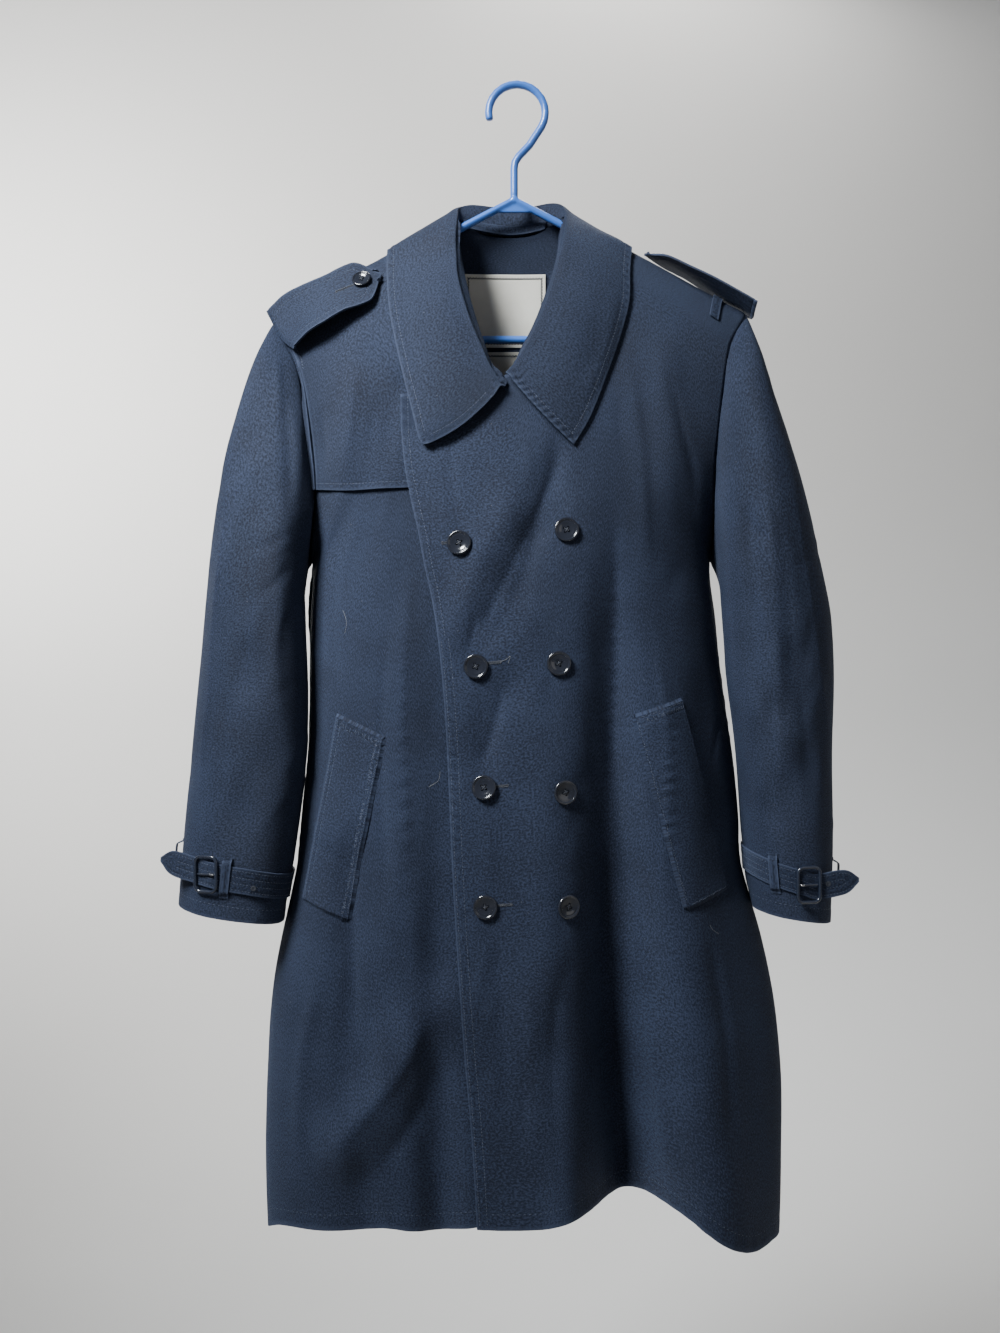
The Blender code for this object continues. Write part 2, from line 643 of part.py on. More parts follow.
def polyline(points):
    """A path through (x, z) points, by its share of the length."""
    lengths = [0.0]
    for (x0, z0), (x1, z1) in zip(points, points[1:]):
        lengths.append(lengths[-1] + math.hypot(x1 - x0, z1 - z0))
    shares = [length / lengths[-1] for length in lengths]

    def at(u):
        return (
            smooth(shares, [x for x, _ in points], u),
            smooth(shares, [z for _, z in points], u),
        )

    return at


def spread(first_angle, last_angle, share, z):
    """The angle at a share of the way across: an armhole crowds only the columns next to it."""
    start = first_angle(z)
    end = last_angle(z)
    first_quarter = math.copysign(math.pi / 2, start)
    last_quarter = math.copysign(math.pi / 2, end) if last_angle.is_side else end
    angle = blend(first_quarter, last_quarter, share)
    return angle + (start - first_quarter) * (1 - share) ** 3 + (end - last_quarter) * share**3


def following(folds, row, middle, first_angle, last_angle):
    """Shares across a panel by (u, z), bent so that u = middle runs down one fold of a table."""
    heights = [folds[name][row] for name in ("z_top", "z_mid", "z_low")]
    line = [folds[name][row] for name in ("x_top", "x_mid", "x_low")]

    def share(u, z):
        target = body_angle(smooth(heights, line, z), z)
        shift = (target - first_angle(z)) / (last_angle(z) - first_angle(z)) - middle
        near = 1 - abs(u - middle) / (middle if u < middle else 1 - middle)
        return u + shift * ease(near)

    return share


def even(u, z):
    return u


def panel(facing, first_angle, last_angle, top, hem, level, across=even):
    """A body panel's place and way out by u, from its first side to its last, and v, from hem to top."""

    def share_at_top(u):
        x, z = top(u)
        target = body_angle(x, z)
        low, high = 0.0, 1.0
        rising = last_angle(z) > first_angle(z)
        for _ in range(30):
            share = (low + high) / 2
            if (spread(first_angle, last_angle, share, z) < target) == rising:
                low = share
            else:
                high = share
        return low if u > 1e-6 else 0.0

    def point(u, v):
        top_x, top_z = top(u)
        low = hem(u)
        z = blend(low, top_z, v)
        share = blend(across(u, z), share_at_top(u), v**2)
        angle = spread(first_angle, last_angle, share, z)
        place = body_point(facing, angle, z)
        way = body_normal(facing, angle, z)
        place = place + way * level(place.x, z)
        if v > 1 - 1e-6 and abs(place.y) < RIDGE_REACH:
            place.y = facing * SEAM_OFFSET
            if z > shoulder_height(place.x) - RIDGE_SNAP:
                place.z = shoulder_height(place.x) + level(place.x, z)
            way = Vector((0, 0, 1))
        elif (u < 1e-6 and first_angle.is_side) or (u > 1 - 1e-6 and last_angle.is_side):
            place.y += facing * SEAM_OFFSET
            if z < ARMPIT + RIDGE_REACH:
                way = Vector((math.copysign(1.0, place.x), 0, 0))
        return place, way

    return point


def hem_of(column, first_angle, last_angle, across=even):
    """The height of a hem table at share u of the way across a panel."""

    def height(u):
        z = column["z"][0]
        for _ in range(3):
            x = body_point(-1, spread(first_angle, last_angle, across(u, z), z), z).x
            z = smooth(column["x"], column["z"], x)
        return z

    return height


def neck_points(first, last):
    return [(COLLAR["neck_x"][i], COLLAR["neck_z"][i]) for i in range(first, last + 1)]


def flat(x, z):
    return 0.0


def flap_zone(z):
    return ease((z + 0.455) / 0.025)


def under_level(x, z):
    """The under front sinks a lap step before it passes under the other, and one more under the flap."""
    lap = ease((x - over_edge_x(z) + 0.030) / 0.025) * ease((-0.296 - z) / 0.024)
    return -lap * LAP_STEP * (1 + flap_zone(z))


def flap_level(x, z):
    return under_level(x, z) + LAP_STEP


def over_edge_x(z):
    return smooth(OVER_EDGE["z"], OVER_EDGE["x"], z)


def edge_angle(edge):
    def angle(z):
        return body_angle(smooth(edge["z"], edge["x"], z), z)

    angle.is_side = False
    return angle


def side_of(side, facing, inset=0.0):
    def angle(z):
        return side_angle(side, facing, z) + inset

    angle.is_side = True
    return angle


def tip_point(side):
    return (ARMHOLE[side][-1], shoulder_height(ARMHOLE[side][-1]))


def build_body(parent):
    left_neck = neck_points(0, 6)
    right_neck = neck_points(10, 16)
    shoulder_left = [tip_point("left"), (-0.132, shoulder_height(-0.132))]
    shoulder_right = [tip_point("right"), (0.118, shoulder_height(0.118))]

    top = polyline(shoulder_right + right_neck + [(-0.050, -0.3240), (-0.117, -0.3325)])
    first = side_of("right", -1)
    last = edge_angle(OVER_EDGE)
    across = following(FRONT_FOLDS, OVER_GUIDE[0], OVER_GUIDE[1], first, last)
    place = panel(-1, first, last, top, hem_of(OVER_HEM, first, last, across), flat, across)
    over = cloth_wall("front_over", 22, 30, place, BODY_CLOTH, parent, spacing=crowded_top)

    flap_top = polyline(shoulder_left + neck_points(2, 6)[::-1])
    first = side_of("left", -1, inset=0.012)
    last = edge_angle(FLAP_EDGE)
    place = panel(-1, first, last, flap_top, hem_of(FLAP_HEM, first, last), flap_level)
    clear = [((over,), inwards)]
    flap = cloth_wall("storm_flap", 10, 12, place, BODY_CLOTH, parent, spacing=crowded_top, clear=clear)

    top = polyline(shoulder_left + left_neck[::-1] + [(0.040, -0.3300), (0.100, -0.3330)])
    first = side_of("left", -1)
    last = edge_angle(UNDER_EDGE)
    across = following(FRONT_FOLDS, UNDER_GUIDE[0], UNDER_GUIDE[1], first, last)
    place = panel(-1, first, last, top, hem_of(UNDER_HEM, first, last, across), under_level, across)
    clear = [((over, flap), inwards)]
    under = cloth_wall("front_under", 17, 27, place, BODY_CLOTH, parent, spacing=crowded_top, clear=clear)

    back_neck = neck_points(6, 10)
    top = polyline(shoulder_left + back_neck + shoulder_right[::-1])
    first = side_of("left", 1)
    last = side_of("right", 1)
    place = panel(1, first, last, top, hem_of(BACK_HEM, first, last), flat)
    clear = [((over, under, flap), backwards)]
    back = cloth_wall("back", 20, 25, place, BODY_CLOTH, parent, spacing=crowded_top, clear=clear)
    return over, flap, under, back


def off_neck_edge(place):
    """The way off the neck edge into the neck opening: up at the back, inwards at the fronts."""
    if place.y > RIDGE_REACH:
        return Vector((0, 0, 1))
    return Vector((JUNCTION[0] - place.x, 0, 0.030)).normalized()


def collar_sections():
    """The fall's and the stand's cross-sections at each row of the collar table."""
    falls = []
    stands = []
    for i in range(len(COLLAR["facing"])):
        facing = COLLAR["facing"][i]
        side = facing or -1
        neck = body_at(side, COLLAR["neck_x"][i], COLLAR["neck_z"][i])
        away = Vector((0, facing, 0)) if facing else Vector((0, 0, 1))
        roll = Vector((COLLAR["roll_x"][i], neck.y + facing * COLLAR["lift"][i], COLLAR["roll_z"][i]))
        level = LEFT_LEAF_LEVEL if COLLAR["edge_x"][i] < 0 and facing < 1 else RIGHT_LEAF_LEVEL
        edge = body_at(side, COLLAR["edge_x"][i], COLLAR["edge_z"][i], level)
        if not facing:
            neck.y = 0.0
            edge.y = 0.0
        fall = []
        for share in (0.0, 0.12, 0.3, 0.55, 0.8, 1.0):
            place = roll.lerp(edge, share) + away * COLLAR["bulge"][i] * math.sin(math.pi * share)
            place.z -= COLLAR["sag"][i] * math.sin(math.pi * share)
            if facing:
                floor = body_at(facing, place.x, min(place.z, shoulder_height(place.x)), level)
                place.y = facing * max(facing * place.y, facing * floor.y)
            fall.append(place)
        falls.append(fall)
        seat = neck + off_neck_edge(neck) * (BODY_CLOTH / 2 + GAP + SEAM_SPARE)
        head = roll + (seat - roll).normalized() * ROLL_CLEARANCE
        stands.append([seat, seat.lerp(head, 0.5), head])
    return falls, stands


def build_collar(panels, parent):
    falls, stands = collar_sections()
    fall = loft(falls)
    stand = loft(stands)

    def out_of_neck(u, v):
        place = fall(u, v)
        return Vector((place.x + 0.005, place.y + 0.005, 0.25 * (place.z + 0.30)))

    point = surface_with_normal(fall, out_of_neck)
    clear = [(panels, outwards)]
    leaf = cloth_wall("collar_fall", 36, 5, point, COLLAR_CLOTH, parent, DARK_NAVY, clear=clear)

    def off_edge(place, way):
        return off_neck_edge(place)

    def round_neck(u, v):
        return Vector((-math.cos(math.pi * u), math.sin(math.pi * u) ** 4, 0))

    point = surface_with_normal(stand, round_neck)
    clear = [(panels, off_edge), ((leaf,), inwards), (panels, off_edge)]
    band = cloth_wall("collar_stand", 32, 2, point, BODY_CLOTH, parent, DARK_NAVY, clear=clear)
    return leaf, band


def sleeve_shape(side, z):
    rows = SLEEVES[side]
    return {name: smooth(rows["z"], rows[name], z) for name in rows if name != "z"}


def sleeve_point(side, turn, z):
    """A point of the sleeve surface: turn 0 is the inner side, 0.25 the front, 0.5 outer, 0.75 back."""
    shape = sleeve_shape(side, z)
    inwards = math.copysign(1.0, shape["inner"] - shape["outer"])
    power = 2 / shape["square"]
    depth = (shape["back"] - shape["front"]) / 2
    centre_y = (shape["back"] + shape["front"]) / 2
    reach = abs(shape["outer"] - shape["inner"]) / 2
    dual = shape["square"] / (shape["square"] - 1)
    half = max(reach**dual - (shape["lean"] * depth) ** dual, 1e-8) ** (1 / dual)
    cosine = math.cos(2 * math.pi * turn)
    sine = math.sin(2 * math.pi * turn)
    across = math.copysign(abs(cosine) ** power, cosine)
    forward = math.copysign(abs(sine) ** power, sine)
    y = centre_y - depth * forward
    x = (shape["outer"] + shape["inner"]) / 2
    x += inwards * (half * across + shape["lean"] * depth * forward)
    rise = fold_rise(SLEEVE_FOLDS[side], x, z) * ease(forward / 0.5)
    if z < ARMPIT:
        strap = math.exp(-(((z - cuff_strap_middle(side, 0.0)) / CUFF_ROOM_HEIGHT) ** 2))
        room = BODY_CLOTH + 2 * GAP + CUFF_ROOM * strap
        limit = body_side_x(side, y, z) - inwards * room * ease((ARMPIT - z) / 0.02)
        x = min(x, limit) if inwards > 0 else max(x, limit)
    return Vector((x, y - rise, z))


def body_side_x(side, y, z):
    """How far sideways the body reaches at (y, z)."""
    shape = {name: smooth(BODY["z"], BODY[name], z) for name in BODY if name != "z"}
    reach = shape["front"] if y < shape["side"] else shape["back"]
    roll = min(abs((y - shape["side"]) / (reach - shape["side"])), 1.0)
    half = (shape["right"] - shape["left"]) / 2
    across = half * (1 - roll ** shape["square"]) ** (1 / shape["square"])
    return (shape["left"] + shape["right"]) / 2 + (across if side == "right" else -across)


def sleeve_at(side, turn, z, level):
    """The sleeve surface moved out by level, and the way out there."""
    around = sleeve_point(side, turn + STEP, z) - sleeve_point(side, turn - STEP, z)
    down = sleeve_point(side, turn, z - STEP) - sleeve_point(side, turn, z + STEP)
    way = around.cross(down).normalized()
    if side == "right":
        way = -way
    centre = sleeve_point(side, turn, z) - sleeve_point(side, turn + 0.5, z)
    if way.dot(centre) < 0:
        way = -way
    return sleeve_point(side, turn, z) + way * level, way


def armhole_seam(side, turn):
    """The sleeve's upper edge, just outside the body's armhole edge."""
    facing = -1 if turn <= 0.5 else 1
    share = 2 * turn if facing < 0 else 2 * (1 - turn)
    top = tip_point(side)[1]
    z = blend(ARMPIT, top, math.sin(share * math.pi / 2) ** 1.15)
    x = armhole_x(side, facing, z) if z > ARMPIT + 1e-6 else ARMHOLE[side][0]
    place = body_at(facing, x, z)
    outwards = math.copysign(1.0, x)
    place.x += outwards * blend(BODY_CLOTH + 2 * GAP, BODY_CLOTH / 2 + GAP + SEAM_SPARE, ease(share * 2.5))
    if share > 0.999:
        place.y = 0.0
    return place


def sleeve_surface(side):
    outer_hem, inner_hem = CUFF_HEM[side]

    def seam_turn(turn, place):
        shape = sleeve_shape(side, place.z)
        middle = (shape["outer"] + shape["inner"]) / 2
        across = min(max((place.x - middle) / (shape["inner"] - middle), -1.0), 1.0)
        across = math.copysign(abs(across) ** (shape["square"] / 2), across)
        angle = math.acos(across) / (2 * math.pi)
        return angle if turn <= 0.5 else 1 - angle

    def surface(u, v):
        turn = u % 1.0
        head_share = 0.36
        if v < head_share:
            share = v / head_share
            seam = armhole_seam(side, turn)
            start = seam_turn(turn, seam)
            if turn < 1e-6:
                start = 0.0
            fit = seam - sleeve_point(side, start, seam.z)
            z = blend(seam.z, SLEEVE_HEAD, share)
            return sleeve_point(side, blend(start, turn, share), z) + fit * (1 - share) ** 2
        share = (v - head_share) / (1 - head_share)
        across = (math.cos(2 * math.pi * turn) + 1) / 2
        hem = blend(outer_hem, inner_hem, across)
        return sleeve_point(side, turn, blend(SLEEVE_HEAD, hem, share))

    return surface


def build_sleeves(panels, parent):
    sleeves = {}
    for side in ("left", "right"):
        surface = sleeve_surface(side)

        def point(u, v, surface=surface):
            around = surface((u + 1e-3) % 1.0, v) - surface((u - 1e-3) % 1.0, v)
            low = max(v - 1e-3, 0.0)
            high = min(v + 1e-3, 1.0)
            along = surface(u, high) - surface(u, low)
            way = around.cross(along).normalized()
            place = surface(u, v)
            across = surface((u + 0.5) % 1.0, v)
            return place, (way if way.dot(place - across) > 0 else -way)

        def sideways(place, way):
            return Vector((math.copysign(1.0, place.x), 0, 0))

        clear = [(panels, sideways)]
        sleeves[side] = cloth_wall("sleeve_" + side, 16, 19, point, BODY_CLOTH, parent, ring=True, clear=clear)
    return sleeves


def build_shoulder_straps(beneath, parent):
    up = Vector((0, -0.6, 1))

    for side in ("left", "right"):
        rows = SHOULDER_STRAPS[side]
        sections = []
        for i in range(len(rows["back_x"])):
            back = Vector((rows["back_x"][i], rows["back_y"][i], rows["back_z"][i]))
            front = Vector((rows["front_x"][i], rows["front_y"][i], rows["front_z"][i]))
            middle = back.lerp(front, 0.5) - Vector(STRAP_UP[side]).normalized() * rows["sag"][i]
            sections.append([back, middle, front])
        tip = Vector(SHOULDER_STRAP_TIP[side])
        last = sections[-1]
        sections.append([last[0].lerp(tip, 0.8), tip, last[2].lerp(tip, 0.8)])
        strap = loft(sections)
        name = "shoulder_strap_" + side
        point = surface_with_normal(strap, lambda u, v: up)
        clear = [(beneath, outwards)]
        made = cloth_wall(name, 10, 4, point, STRAP_CLOTH, parent, DARK_NAVY, clear=clear)
        seat, way = point(SHOULDER_STRAP_BUTTON[side], 0.5)
        button = add_button("shoulder_button_" + side, seat, way, STRAP_BUTTON_RADIUS, parent)
        lift_clear(button, (made,), way)


def build_strap_loops(beneath, parent):
    for side in ("left", "right"):
        top_x, low_x = STRAP_LOOP[side]
        level = LAP_STEP * (2 if side == "left" else 1) - 0.0006
        half = NARROW_TAPE_WIDTH / 2
        sections = []
        for facing, drop in STRAP_LOOP_ROWS:
            middle = blend(top_x, low_x, drop / STRAP_LOOP_DROP) if facing < 0 else top_x
            section = []
            for shift in (-half, half):
                x = middle + shift
                section.append(body_at(facing, x, shoulder_height(x) - drop, level))
            sections.append(section)
        loop = loft(sections)
        point = surface_with_normal(loop, lambda u, v: Vector((0, blend(0.6, -0.8, u), 1)))
        clear = [(beneath, outwards)]
        cloth_wall("strap_loop_" + side, 8, 1, point, TAPE, parent, DARK_NAVY, clear=clear)


def build_welts(panels, parent):
    for side, corners in WELTS.items():
        upper_in, upper_out, lower_out, lower_in = [Vector((x, 0, z)) for x, z in corners]

        def point(u, v):
            spot = lower_out.lerp(lower_in, u).lerp(upper_out.lerp(upper_in, u), v)
            angle = body_angle(spot.x, spot.z)
            way = body_normal(-1, angle, spot.z)
            return body_point(-1, angle, spot.z) + way * (BODY_CLOTH + GAP), way

        clear = [(panels, outwards)]
        cloth_wall("pocket_welt_" + side, 4, 12, point, BODY_CLOTH, parent, clear=clear)


def add_button(name, place, way, radius, parent):
    """A turned button: flat back, rounded rim and a dished face, standing on place along way."""
    high = BUTTON_THICKNESS
    profile = (
        (0.0, 0.0),
        (radius * 0.80, 0.0),
        (radius, high * 0.45),
        (radius * 0.93, high * 0.90),
        (radius * 0.80, high),
        (radius * 0.68, high * 0.62),
        (0.0, high * 0.50),
    )
    turned = bmesh.new()
    verts = [turned.verts.new((across, 0, up)) for across, up in profile]
    edges = [turned.edges.new(pair) for pair in zip(verts, verts[1:])]
    bmesh.ops.spin(
        turned,
        geom=verts + edges,
        cent=(0, 0, 0),
        axis=(0, 0, 1),
        angle=2 * math.pi,
        steps=12,
        use_merge=True,
    )
    bmesh.ops.remove_doubles(turned, verts=turned.verts[:], dist=1e-5)
    bmesh.ops.recalc_face_normals(turned, faces=turned.faces[:])
    mesh = bpy.data.meshes.new(name)
    turned.to_mesh(mesh)
    turned.free()
    mesh.shade_smooth()
    mesh.set_sharp_from_angle(angle=math.radians(40))
    obj = make_object(name, mesh, BUTTON_BLACK, 0.15, parent)
    obj.location = place
    obj.rotation_euler = way.to_track_quat("Z", "Y").to_euler()
    return obj


def build_front_buttons(panels, parent):
    for name, (x, z) in BUTTONS.items():
        way = body_normal(-1, body_angle(x, z), z)
        button = add_button("button_" + name, body_at(-1, x, z), way, BUTTON_RADIUS, parent)
        lift_clear(button, panels, way)


def cuff_strap_middle(side, turn):
    outer, inner = CUFF_STRAP_HEIGHT[side]
    return blend(outer, inner, (math.cos(2 * math.pi * turn) + 1) / 2)


def build_cuffs(sleeves, parent):
    strap_level = BODY_CLOTH / 2 + GAP + STRAP_CLOTH / 2
    for side in ("left", "right"):
        buckle_turn = CUFF_BUCKLE_TURN[side]
        leave = buckle_turn + 0.03
        sections = []
        steps = 18
        for i in range(steps + 1):
            turn = blend(CUFF_STRAP_END_TURN, leave, i / steps)
            middle = cuff_strap_middle(side, turn)
            sections.append(
                [
                    sleeve_at(side, turn, middle + shift * CUFF_STRAP_WIDTH, strap_level)[0]
                    for shift in (-0.5, 0.0, 0.5)
                ]
            )
        onwards = (sections[-1][1] - sections[-2][1]).normalized()
        onwards.y = onwards.y * 0.55
        onwards.z = CUFF_TIP_RISE[side]
        onwards.normalize()
        for share, narrow in ((0.35, 1.0), (0.70, 0.96), (1.0, 0.16)):
            reach = onwards * CUFF_TIP_LENGTH[side] * share
            middle = sections[steps][1] + reach
            sections.append([middle.lerp(place + reach, narrow) for place in sections[steps]])
        strap = loft(sections)
        middle = sleeve_point(side, 0.25, -0.81).lerp(sleeve_point(side, 0.75, -0.81), 0.5)

        def away(u, v, strap=strap, middle=middle):
            out = strap(u, v) - middle
            return Vector((out.x, out.y, 0)) if u < 0.86 else Vector((0, -1, 0))

        point = surface_with_normal(strap, away)
        clear = [((sleeves[side],), outwards)]
        strap = cloth_wall("cuff_strap_" + side, 26, 2, point, STRAP_CLOTH, parent, DARK_NAVY, clear=clear)
        beneath = (sleeves[side], strap)

        name = "cuff_loop_" + side
        add_cuff_loop(name, side, CUFF_LOOP_TURN[side], 0.0, 0.0, beneath, parent)
        name = "cuff_outer_loop_" + side
        rise = CUFF_OUTER_LOOP_RISE[side]
        add_cuff_loop(name, side, CUFF_OUTER_LOOP_TURN, rise, OUTER_LOOP_BOW, beneath, parent)
        add_buckle(side, buckle_turn, beneath, parent)


def add_cuff_loop(name, side, turn, rise, bow, beneath, parent):
    """A narrow carrier that rises off the sleeve, passes over the strap and comes down again."""
    low_level = BODY_CLOTH / 2 + GAP + TAPE / 2
    high_level = low_level + STRAP_CLOTH + GAP + bow
    middle = cuff_strap_middle(side, turn) + rise
    half_width = NARROW_TAPE_WIDTH / 2
    rows = [(height, share) for height, share in CARRIER_ROWS] + [(0.0, 1.0)]
    rows += [(-height, share) for height, share in reversed(CARRIER_ROWS)]
    sections = []
    for height, share in rows:
        place, way = sleeve_at(side, turn, middle + height, blend(low_level, high_level, share))
        along = Vector((0, 0, 1)).cross(way).normalized()
        sections.append([place - along * half_width, place + along * half_width])
    loop = loft(sections)
    out = sleeve_at(side, turn, middle, 0.0)[1]
    point = surface_with_normal(loop, lambda u, v: out)
    cloth_wall(name, len(rows) - 1, 1, point, TAPE, parent, DARK_NAVY, clear=[(beneath, outwards)])


def add_buckle(side, turn, beneath, parent):
    """A rounded frame standing on the strap, and the prong lying across it."""
    seat_level = BODY_CLOTH / 2 + GAP + STRAP_CLOTH
    middle = cuff_strap_middle(side, turn)
    place, way = sleeve_at(side, turn, middle, seat_level)
    frame = bpy.data.curves.new("buckle_" + side, "CURVE")
    frame.dimensions = "3D"
    frame.bevel_depth = BUCKLE_BAR
    frame.bevel_resolution = 1
    spline = frame.splines.new("POLY")
    corner = 0.006
    outline = []
    for quarter, (sign_x, sign_z) in enumerate(((1, 1), (-1, 1), (-1, -1), (1, -1))):
        for step in range(4):
            angle = math.radians(90 * quarter + 30 * step)
            outline.append(
                (
                    sign_x * (BUCKLE_WIDTH / 2 - BUCKLE_BAR - corner) + corner * math.cos(angle),
                    sign_z * (BUCKLE_HEIGHT / 2 - BUCKLE_BAR - corner) + corner * math.sin(angle),
                )
            )
    spline.points.add(len(outline) - 1)
    for spot, (across, up) in zip(spline.points, outline):
        spot.co = (across, up, 0, 1)
    spline.use_cyclic_u = True
    guide = bpy.data.objects.new("buckle_guide", frame)
    mesh = bpy.data.meshes.new_from_object(guide)
    bpy.data.objects.remove(guide)
    buckle = make_object("buckle_" + side, mesh, BUTTON_BLACK, 0.3, parent)
    way = Vector((way.x, way.y, 0)).normalized()
    buckle.location = place
    buckle.rotation_euler = way.to_track_quat("Z", "Y").to_euler()
    lift_clear(buckle, beneath, way)

    prong = bmesh.new()
    bmesh.ops.create_cube(prong, size=1.0)
    length = BUCKLE_WIDTH - 4 * BUCKLE_BAR - 2 * GAP
    bmesh.ops.scale(prong, vec=(length, 0.0024, 0.0014), verts=prong.verts)
    edges = prong.edges[:]
    bmesh.ops.bevel(prong, geom=edges, offset=0.0004, segments=1, affect="EDGES", profile=0.5, material=-1)
    mesh = bpy.data.meshes.new("prong_" + side)
    prong.to_mesh(mesh)
    prong.free()
    pin = make_object("prong_" + side, mesh, STEEL_GREY, 0.35, parent, 0.9)
    pin.location = buckle.location
    pin.rotation_euler = buckle.rotation_euler


def build_neck_tapes(back, band, parent):
    """The hanging loop on the stand and the two labels on the back's inside."""
    stand = loft(collar_sections()[1])
    start, end, low_edge, high_edge = HANGING_LOOP

    def on_stand(u, v):
        place = stand(blend(start, end, u), blend(low_edge, high_edge, v))
        way = Vector((0, -1, 0))
        return place + way * (BODY_CLOTH / 2 + GAP + TAPE / 2), way

    clear = [((back, band), outwards)]
    cloth_wall("hanging_loop", 8, 1, on_stand, TAPE, parent, DARK_NAVY, clear=clear)
    for name, (left, right, low, high) in LABELS.items():

        def point(u, v, left=left, right=right, low=low, high=high):
            x = blend(left, right, u)
            z = blend(low, high, v)
            way = body_normal(1, body_angle(x, z), z)
            return body_at(1, x, z) - way * (BODY_CLOTH / 2 + GAP + LABEL / 2), -way

        cloth_wall(name, 6, 4, point, LABEL, parent, CREAM, clear=[((back,), outwards)])


def tube(name, points, parent):
    curve = bpy.data.curves.new(name, "CURVE")
    curve.dimensions = "3D"
    curve.bevel_depth = TUBE_RADIUS
    curve.bevel_resolution = 1
    curve.use_fill_caps = True
    spline = curve.splines.new("POLY")
    spline.points.add(len(points) - 1)
    for spot, (x, z) in zip(spline.points, points):
        spot.co = (x, 0, z, 1)
    return make_object(name, curve, HANGER_BLUE, 0.18, parent)


def hanger_arm(side):
    """From the peak down one arm, under the shoulder, round the end and into the bar."""
    sign = 1 if side == "right" else -1
    seat = BODY_CLOTH / 2 + GAP + ARM_SPARE + TUBE_RADIUS * TUBE_FLAT
    path = []
    steps = 8
    for i in range(steps + 1):
        x = sign * blend(ARM_LEAVES_NECK[side], HANGER_HALF_WIDTH - ARM_BEND_WIDTH, i / steps)
        path.append((x, shoulder_height(x) - seat))
    x, z = path[-1]
    bend = (z - BAR_HEIGHT) / 2
    start = math.radians(62)
    turns = 7
    for i in range(1, turns + 1):
        angle = start - i * math.radians(152) / turns
        rise = math.sin(angle) / math.sin(start) if angle > 0 else math.sin(angle)
        across = (math.cos(angle) - math.cos(start)) * ARM_BEND_SQUASH
        path.append((x + sign * bend * across, BAR_HEIGHT + bend + bend * rise))
    path.append((x - sign * 0.012, BAR_HEIGHT))
    return path


def build_hanger(parent):
    left = hanger_arm("left")
    right = hanger_arm("right")
    tube("hanger_arms", left[::-1] + [JUNCTION] + right, parent)
    tube("hanger_bar", [(left[-1][0] + GAP, BAR_HEIGHT), (right[-1][0] - GAP, BAR_HEIGHT)], parent)
    centre_z = HOOK_TOP + TUBE_RADIUS - HOOK_RADIUS
    path = []
    for i in range(16):
        angle = math.radians(195 - i * 225 / 15)
        path.append((HOOK_RADIUS * math.cos(angle), centre_z + HOOK_RADIUS * math.sin(angle)))
    path += [(0.0130, -0.0550), (0.0020, -0.0665), (-0.0022, -0.0730), (JUNCTION[0], -0.0800)]
    path.append((JUNCTION[0], JUNCTION[1] + TUBE_RADIUS + GAP))
    tube("hanger_hook", path, parent)


def main():
    for obj in list(bpy.data.objects):
        bpy.data.objects.remove(obj)
    root = bpy.data.objects.new("trench_coat", None)
    root.location.z = -HOOK_TOP
    bpy.context.scene.collection.objects.link(root)
    panels = build_body(root)
    over, _, under, back = panels
    _, band = build_collar(panels, root)
    sleeves = build_sleeves(panels, root)
    build_shoulder_straps((*panels, *sleeves.values()), root)
    build_strap_loops((*panels, *sleeves.values()), root)
    build_welts((over, under), root)
    build_front_buttons((over, under), root)
    build_cuffs(sleeves, root)
    build_neck_tapes(back, band, root)
    build_hanger(root)


main()
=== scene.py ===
import json
import math
import random
from itertools import product

import bmesh
import bpy
import numpy as np
from mathutils import Matrix, Vector
from mathutils.bvhtree import BVHTree
from mathutils.kdtree import KDTree

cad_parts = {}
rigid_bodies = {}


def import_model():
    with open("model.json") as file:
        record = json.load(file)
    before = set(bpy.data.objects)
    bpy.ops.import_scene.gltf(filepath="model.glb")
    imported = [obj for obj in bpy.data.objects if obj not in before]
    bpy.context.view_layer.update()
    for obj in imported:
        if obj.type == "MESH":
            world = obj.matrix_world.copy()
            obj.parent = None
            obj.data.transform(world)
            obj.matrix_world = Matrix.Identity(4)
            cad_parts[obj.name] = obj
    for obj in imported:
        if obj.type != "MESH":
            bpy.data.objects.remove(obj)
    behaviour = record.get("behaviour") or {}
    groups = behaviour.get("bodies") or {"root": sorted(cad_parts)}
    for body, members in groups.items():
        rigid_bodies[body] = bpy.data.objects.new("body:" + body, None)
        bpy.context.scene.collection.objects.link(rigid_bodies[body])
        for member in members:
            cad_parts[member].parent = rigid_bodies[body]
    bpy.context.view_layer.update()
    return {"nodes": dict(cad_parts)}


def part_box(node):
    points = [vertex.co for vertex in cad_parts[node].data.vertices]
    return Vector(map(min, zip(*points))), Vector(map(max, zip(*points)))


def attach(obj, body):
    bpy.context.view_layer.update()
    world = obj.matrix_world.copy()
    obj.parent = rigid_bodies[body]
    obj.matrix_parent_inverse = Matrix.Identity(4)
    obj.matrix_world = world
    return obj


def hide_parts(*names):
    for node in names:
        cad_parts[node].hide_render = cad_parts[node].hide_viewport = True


for startObject in list(bpy.data.objects):
    bpy.data.objects.remove(startObject)
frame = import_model()
print("frame loaded")

# Lengths are metres. -Y is the coat's front, left (-X) and right (+X) are as seen from the front.
body = "root"
dice = random.Random(7)
mm = 0.001


# reading the CAD walls back as grids of points

def ringsFrom(start):
    # how many edges each vertex lies away from the start row
    steps = {vert: 0 for vert in start}
    edgeRow = list(start)
    while edgeRow:
        nextRow = []
        for vert in edgeRow:
            for edge in vert.link_edges:
                other = edge.other_vert(vert)
                if other not in steps:
                    steps[other] = steps[vert] + 1
                    nextRow.append(other)
        edgeRow = nextRow
    return steps


